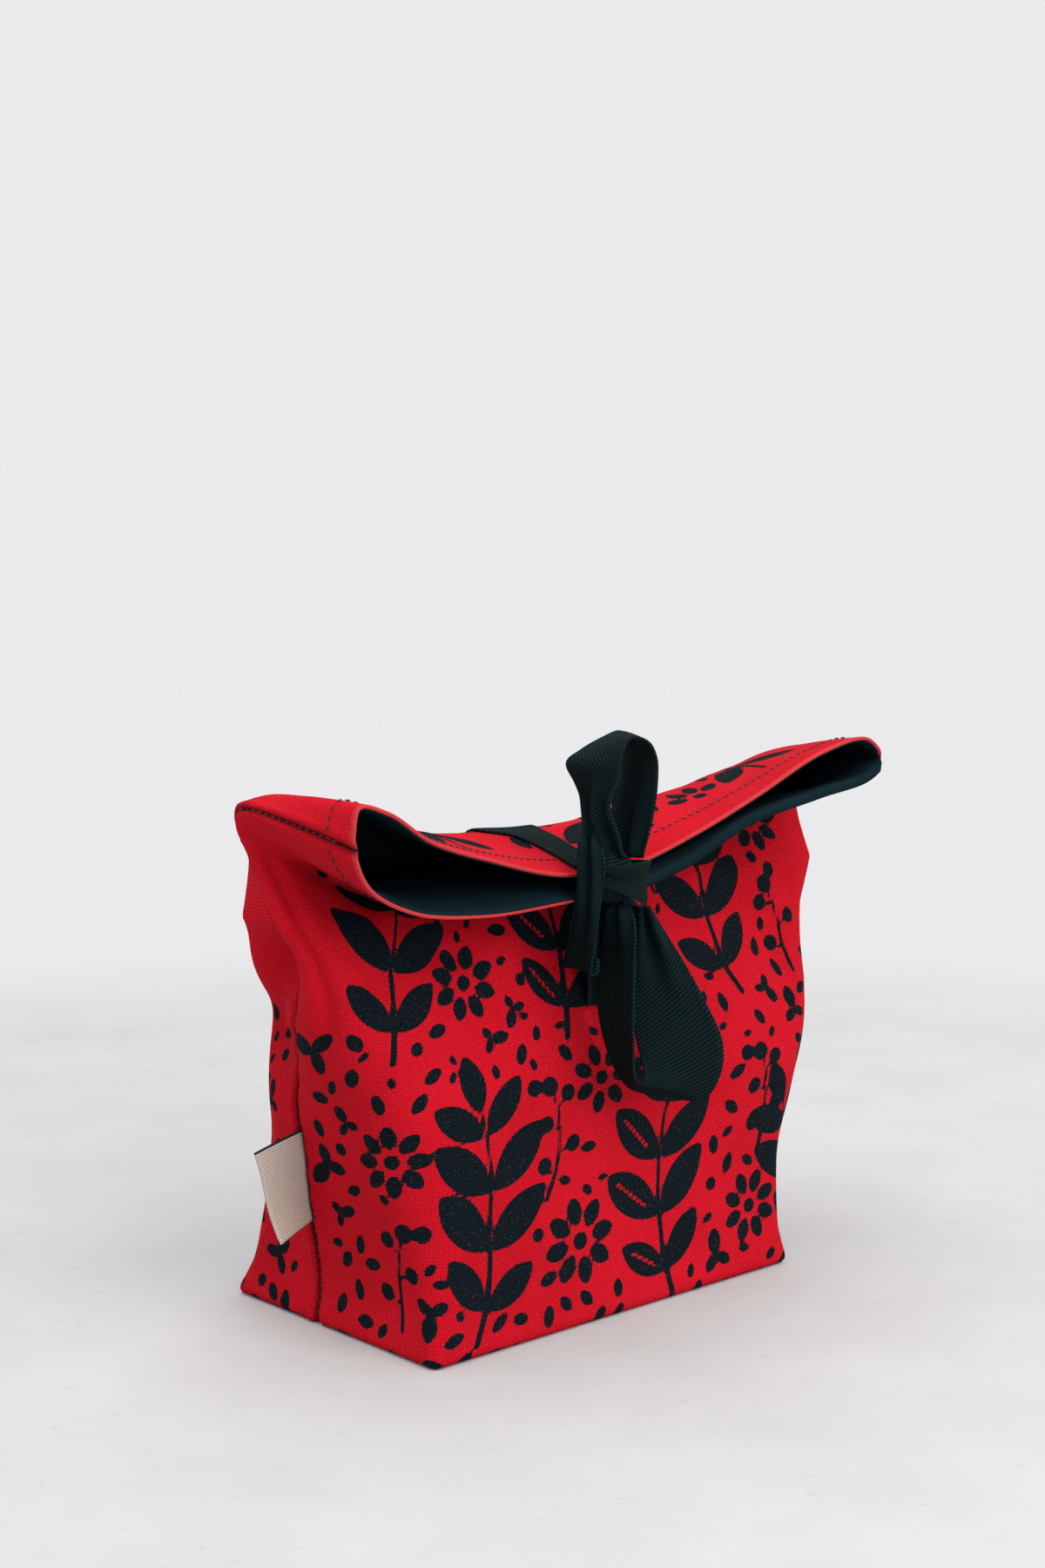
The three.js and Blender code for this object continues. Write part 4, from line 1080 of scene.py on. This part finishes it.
def stitchTree():
    tree = bpy.data.node_groups.new("stitchRow", "GeometryNodeTree")
    sockets = tree.interface
    sockets.new_socket(name="Line", in_out="INPUT", socket_type="NodeSocketGeometry")
    for name in ("Pitch", "Stitch length", "Thread width", "Unevenness"):
        sockets.new_socket(name=name, in_out="INPUT", socket_type="NodeSocketFloat")
    sockets.new_socket(name="Seed", in_out="INPUT", socket_type="NodeSocketInt")
    sockets.new_socket(name="Thread", in_out="INPUT", socket_type="NodeSocketMaterial")
    sockets.new_socket(name="Stitches", in_out="OUTPUT", socket_type="NodeSocketGeometry")
    given = tree.nodes.new("NodeGroupInput").outputs
    curve = addNode(tree, "GeometryNodeMeshToCurve", {0: given["Line"]})[0]
    even = addNode(tree, "GeometryNodeResampleCurve", {"Curve": curve, "Length": given["Pitch"]},
                   mode="LENGTH")[0]
    thread = addNode(tree, "GeometryNodeMeshUVSphere", {"Segments": 8, "Rings": 6, "Radius": 0.5})["Mesh"]
    out = addNode(tree, "GeometryNodeInputNamedAttribute", {"Name": "faceOut"},
                  data_type="FLOAT_VECTOR")["Attribute"]
    upright = addNode(tree, "FunctionNodeAlignRotationToVector", {"Vector": out}, axis="Z")[0]
    tangent = addNode(tree, "GeometryNodeInputTangent")[0]
    along = addNode(tree, "FunctionNodeAlignRotationToVector", {"Rotation": upright, "Vector": tangent},
                    axis="X", pivot_axis="Z")[0]
    uneven = tree.nodes.new("FunctionNodeRandomValue")
    uneven.data_type = "FLOAT"
    lowest, highest = [socket for socket in uneven.inputs if socket.type == "VALUE"][:2]
    setSocket(tree, lowest, mathNode(tree, "SUBTRACT", 1.0, given["Unevenness"]))
    setSocket(tree, highest, 1.0)
    setSocket(tree, uneven.inputs["Seed"], given["Seed"])
    random = next(socket for socket in uneven.outputs if socket.type == "VALUE")
    size = addNode(tree, "ShaderNodeCombineXYZ", {
        "X": mathNode(tree, "MULTIPLY", given["Stitch length"], random),
        "Y": given["Thread width"],
        "Z": mathNode(tree, "MULTIPLY", given["Thread width"], 1.1)})[0]
    row = addNode(tree, "GeometryNodeInstanceOnPoints", {
        "Points": even, "Instance": thread, "Rotation": along, "Scale": size})[0]
    real = addNode(tree, "GeometryNodeRealizeInstances", {0: row})[0]
    finished = addNode(tree, "GeometryNodeSetMaterial", {"Geometry": real, "Material": given["Thread"]})[0]
    addNode(tree, "NodeGroupOutput", {"Stitches": finished})
    return tree


stitchRow = stitchTree()


# Each line is a list of places, of rises, the depth under the outer face and the groove it lies in
def sewn(name, lines, material, pitch, length):
    points, outs, edges = [], [], []
    for places, rises, depth, groove in lines:
        first = len(points)
        points += list(clothPoint(places, rises, depth, groove) * 0.001)
        outs += list(outerNormal(places, rises))
        edges += [(k, k + 1) for k in range(first, len(points) - 1)]
    mesh = bpy.data.meshes.new(name)
    mesh.from_pydata([tuple(p) for p in points], edges, [])
    mesh.attributes.new("faceOut", "FLOAT_VECTOR", "POINT").data.foreach_set(
        "vector", np.array(outs, np.float32).ravel())
    piece = newObject(name, mesh)
    row = piece.modifiers.new("stitchRow", "NODES")
    row.node_group = stitchRow
    wanted = {"Pitch": pitch * 0.001, "Stitch length": length * 0.001,
              "Thread width": stitches["width"] * 0.001, "Unevenness": stitches["unevenness"],
              "Seed": stitches["seed"], "Thread": materials[material]}
    for socket in stitchRow.interface.items_tree:
        if socket.in_out == "INPUT" and socket.name in wanted:
            row[socket.identifier] = wanted[socket.name]
    settle(piece)
    piece.data.polygons.foreach_set("use_smooth", [True] * len(piece.data.polygons))
    print(name, len(piece.data.polygons), "faces")
    return piece


def riseFromHem(places, inset):
    rises = np.linspace(1.6, 2, 81)
    points = outerPoint(places[None, :], rises[:, None])
    steps = np.linalg.norm(np.diff(points, axis=0), axis=2)
    left = np.concatenate([np.cumsum(steps[::-1], axis=0)[::-1], np.zeros((1, len(places)))])
    return np.array([np.interp(inset, left[::-1, k], rises[::-1]) for k in range(len(places))])


for word, middle in (("Front", 0), ("Back", 2)):
    places = middle + np.linspace(-0.97, 0.97, 240)
    rises = riseFromHem(places, stitches["hemInset"])
    hemRow = sewn(f"hemStitches{word}", [(places, rises, -0.25, sideSeam["groove"])], "thread",
                  stitches["hemPitch"], stitches["hemLength"])
    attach(hemRow, "flap")
    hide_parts(f"hem_stitch_{word.lower()}")

for word, middle in (("left", -1), ("right", 1)):
    last = riseFromHem(np.array([middle], float), 9)[0]
    rises = np.linspace(0.03, last, 300)
    places = np.full(rises.shape, float(middle))
    seamRow = sewn(f"{word}SeamStitches", [(places, rises, 0.0, 1.4)], "seamThread",
                   stitches["seamPitch"], stitches["seamLength"])
    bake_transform(seamRow)
    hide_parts(f"{word}_seam_thread_body", f"{word}_seam_thread_flap")

# the square that holds the back tie down
boxInset = 4
boxFoot = 1 - (tape["foot"] - boxInset) / bag["shoulder"]
boxTop = boxFoot + (tape["width"] - 2 * boxInset) / bag["shoulder"]
boxMiddle = tape["round"] + tape["slant"]
boxHalf = float(roundWidth(np.array(boxMiddle), np.array(1.0), tape["width"] / 2 - boxInset))
boxCorners = [(-1, boxFoot), (1, boxFoot), (1, boxTop), (-1, boxTop), (-1, boxFoot), (1, boxTop)]
boxLines = []
for (fromSide, fromRise), (toSide, toRise) in zip(boxCorners[:-1], boxCorners[1:]):
    t = np.linspace(0, 1, 24)
    places = boxMiddle + boxHalf * (fromSide + (toSide - fromSide) * t)
    boxLines.append((places, fromRise + (toRise - fromRise) * t, -1.15, 0.0))
boxRow = sewn("backTieStitches", boxLines, "darkThread", stitches["boxPitch"], stitches["boxLength"])
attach(boxRow, "bag")
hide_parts("back_tie_stitch")
print("sewn")

# Floor that fades into the pale surroundings, so it looks the same from every side
studio = {"wall": (0.825, 0.825, 0.84), "floor": (0.46, 0.452, 0.444), "paleFloor": (0.50, 0.493, 0.487),
          "pits": (0.35, 0.34, 0.335), "sky": (0.95, 0.97, 1.0), "near": 0.46, "far": 0.66,
          "half": 4, "level": -0.0002}
floorMesh = bpy.data.meshes.new("studioFloor")
floorCorners = [(x * studio["half"], y * studio["half"], studio["level"])
                for x, y in ((-1, -1), (1, -1), (1, 1), (-1, 1))]
floorMesh.from_pydata(floorCorners, [], [(0, 1, 2, 3)])
newObject("studioFloor", floorMesh)
material, tree, shader = newMaterial("paleFloor", 0.8, 0.2)
place = addNode(tree, "ShaderNodeTexCoord")["Object"]
mottle = noiseNode(tree, place, 14.0, 5.0, 0.6)
pits = rangeNode(tree, noiseNode(tree, place, 120.0, 2.0), 0.66, 0.76, 0.0, 0.3)
floorColour = mixColours(tree, rangeNode(tree, mottle, 0.3, 0.7), studio["floor"], studio["paleFloor"])
floorColour = mixColours(tree, pits, floorColour, studio["pits"])
joinSurface(tree, shader, floorColour, mottle, 0.0006)
fromMiddle = addNode(tree, "ShaderNodeVectorMath", {0: place}, operation="LENGTH")["Value"]
fade = rangeNode(tree, fromMiddle, studio["near"], studio["far"])
fade = mathNode(tree, "MULTIPLY", fade, addNode(tree, "ShaderNodeLightPath")["Is Camera Ray"])
light = addNode(tree, "ShaderNodeEmission", {"Color": (*studio["wall"], 1)})[0]
mixShaders(tree, fade, shader.outputs[0], light, "Material Output")
floorMesh.materials.append(material)

world = bpy.data.worlds.new("paleRoom")
bpy.context.scene.world = world
world.use_nodes = True
tree = world.node_tree
background = tree.nodes["Background"]
background.inputs["Color"].default_value = (*studio["sky"], 1)
background.inputs["Strength"].default_value = 1.0
seen = addNode(tree, "ShaderNodeBackground", {"Color": (*studio["wall"], 1), "Strength": 1.0})[0]
lightPath = addNode(tree, "ShaderNodeLightPath")
direct = lightPath["Is Camera Ray"]
for ray in ("Is Glossy Ray", "Is Transmission Ray"):
    direct = mathNode(tree, "MAXIMUM", direct, lightPath[ray])
mixShaders(tree, direct, background.outputs[0], seen, "World Output")

lampTarget = (0, 0, 0.09)
lamps = {
    "keyLamp": {"place": (0.05, -1.45, 1.15), "size": 1.5, "power": 25},
    "skyLamp": {"place": (-0.2, 0.1, 1.7), "size": 1.6, "power": 14},
}
for name, lamp in lamps.items():
    area = bpy.data.lights.new(name, "AREA")
    area.shape = "SQUARE"
    area.size = lamp["size"]
    area.energy = lamp["power"]
    holder = newObject(name, area)
    holder.location = lamp["place"]
    holder.rotation_euler = aimedAt(lamp["place"], lampTarget)
bpy.context.scene.view_settings.view_transform = "Standard"
print("studio lit")
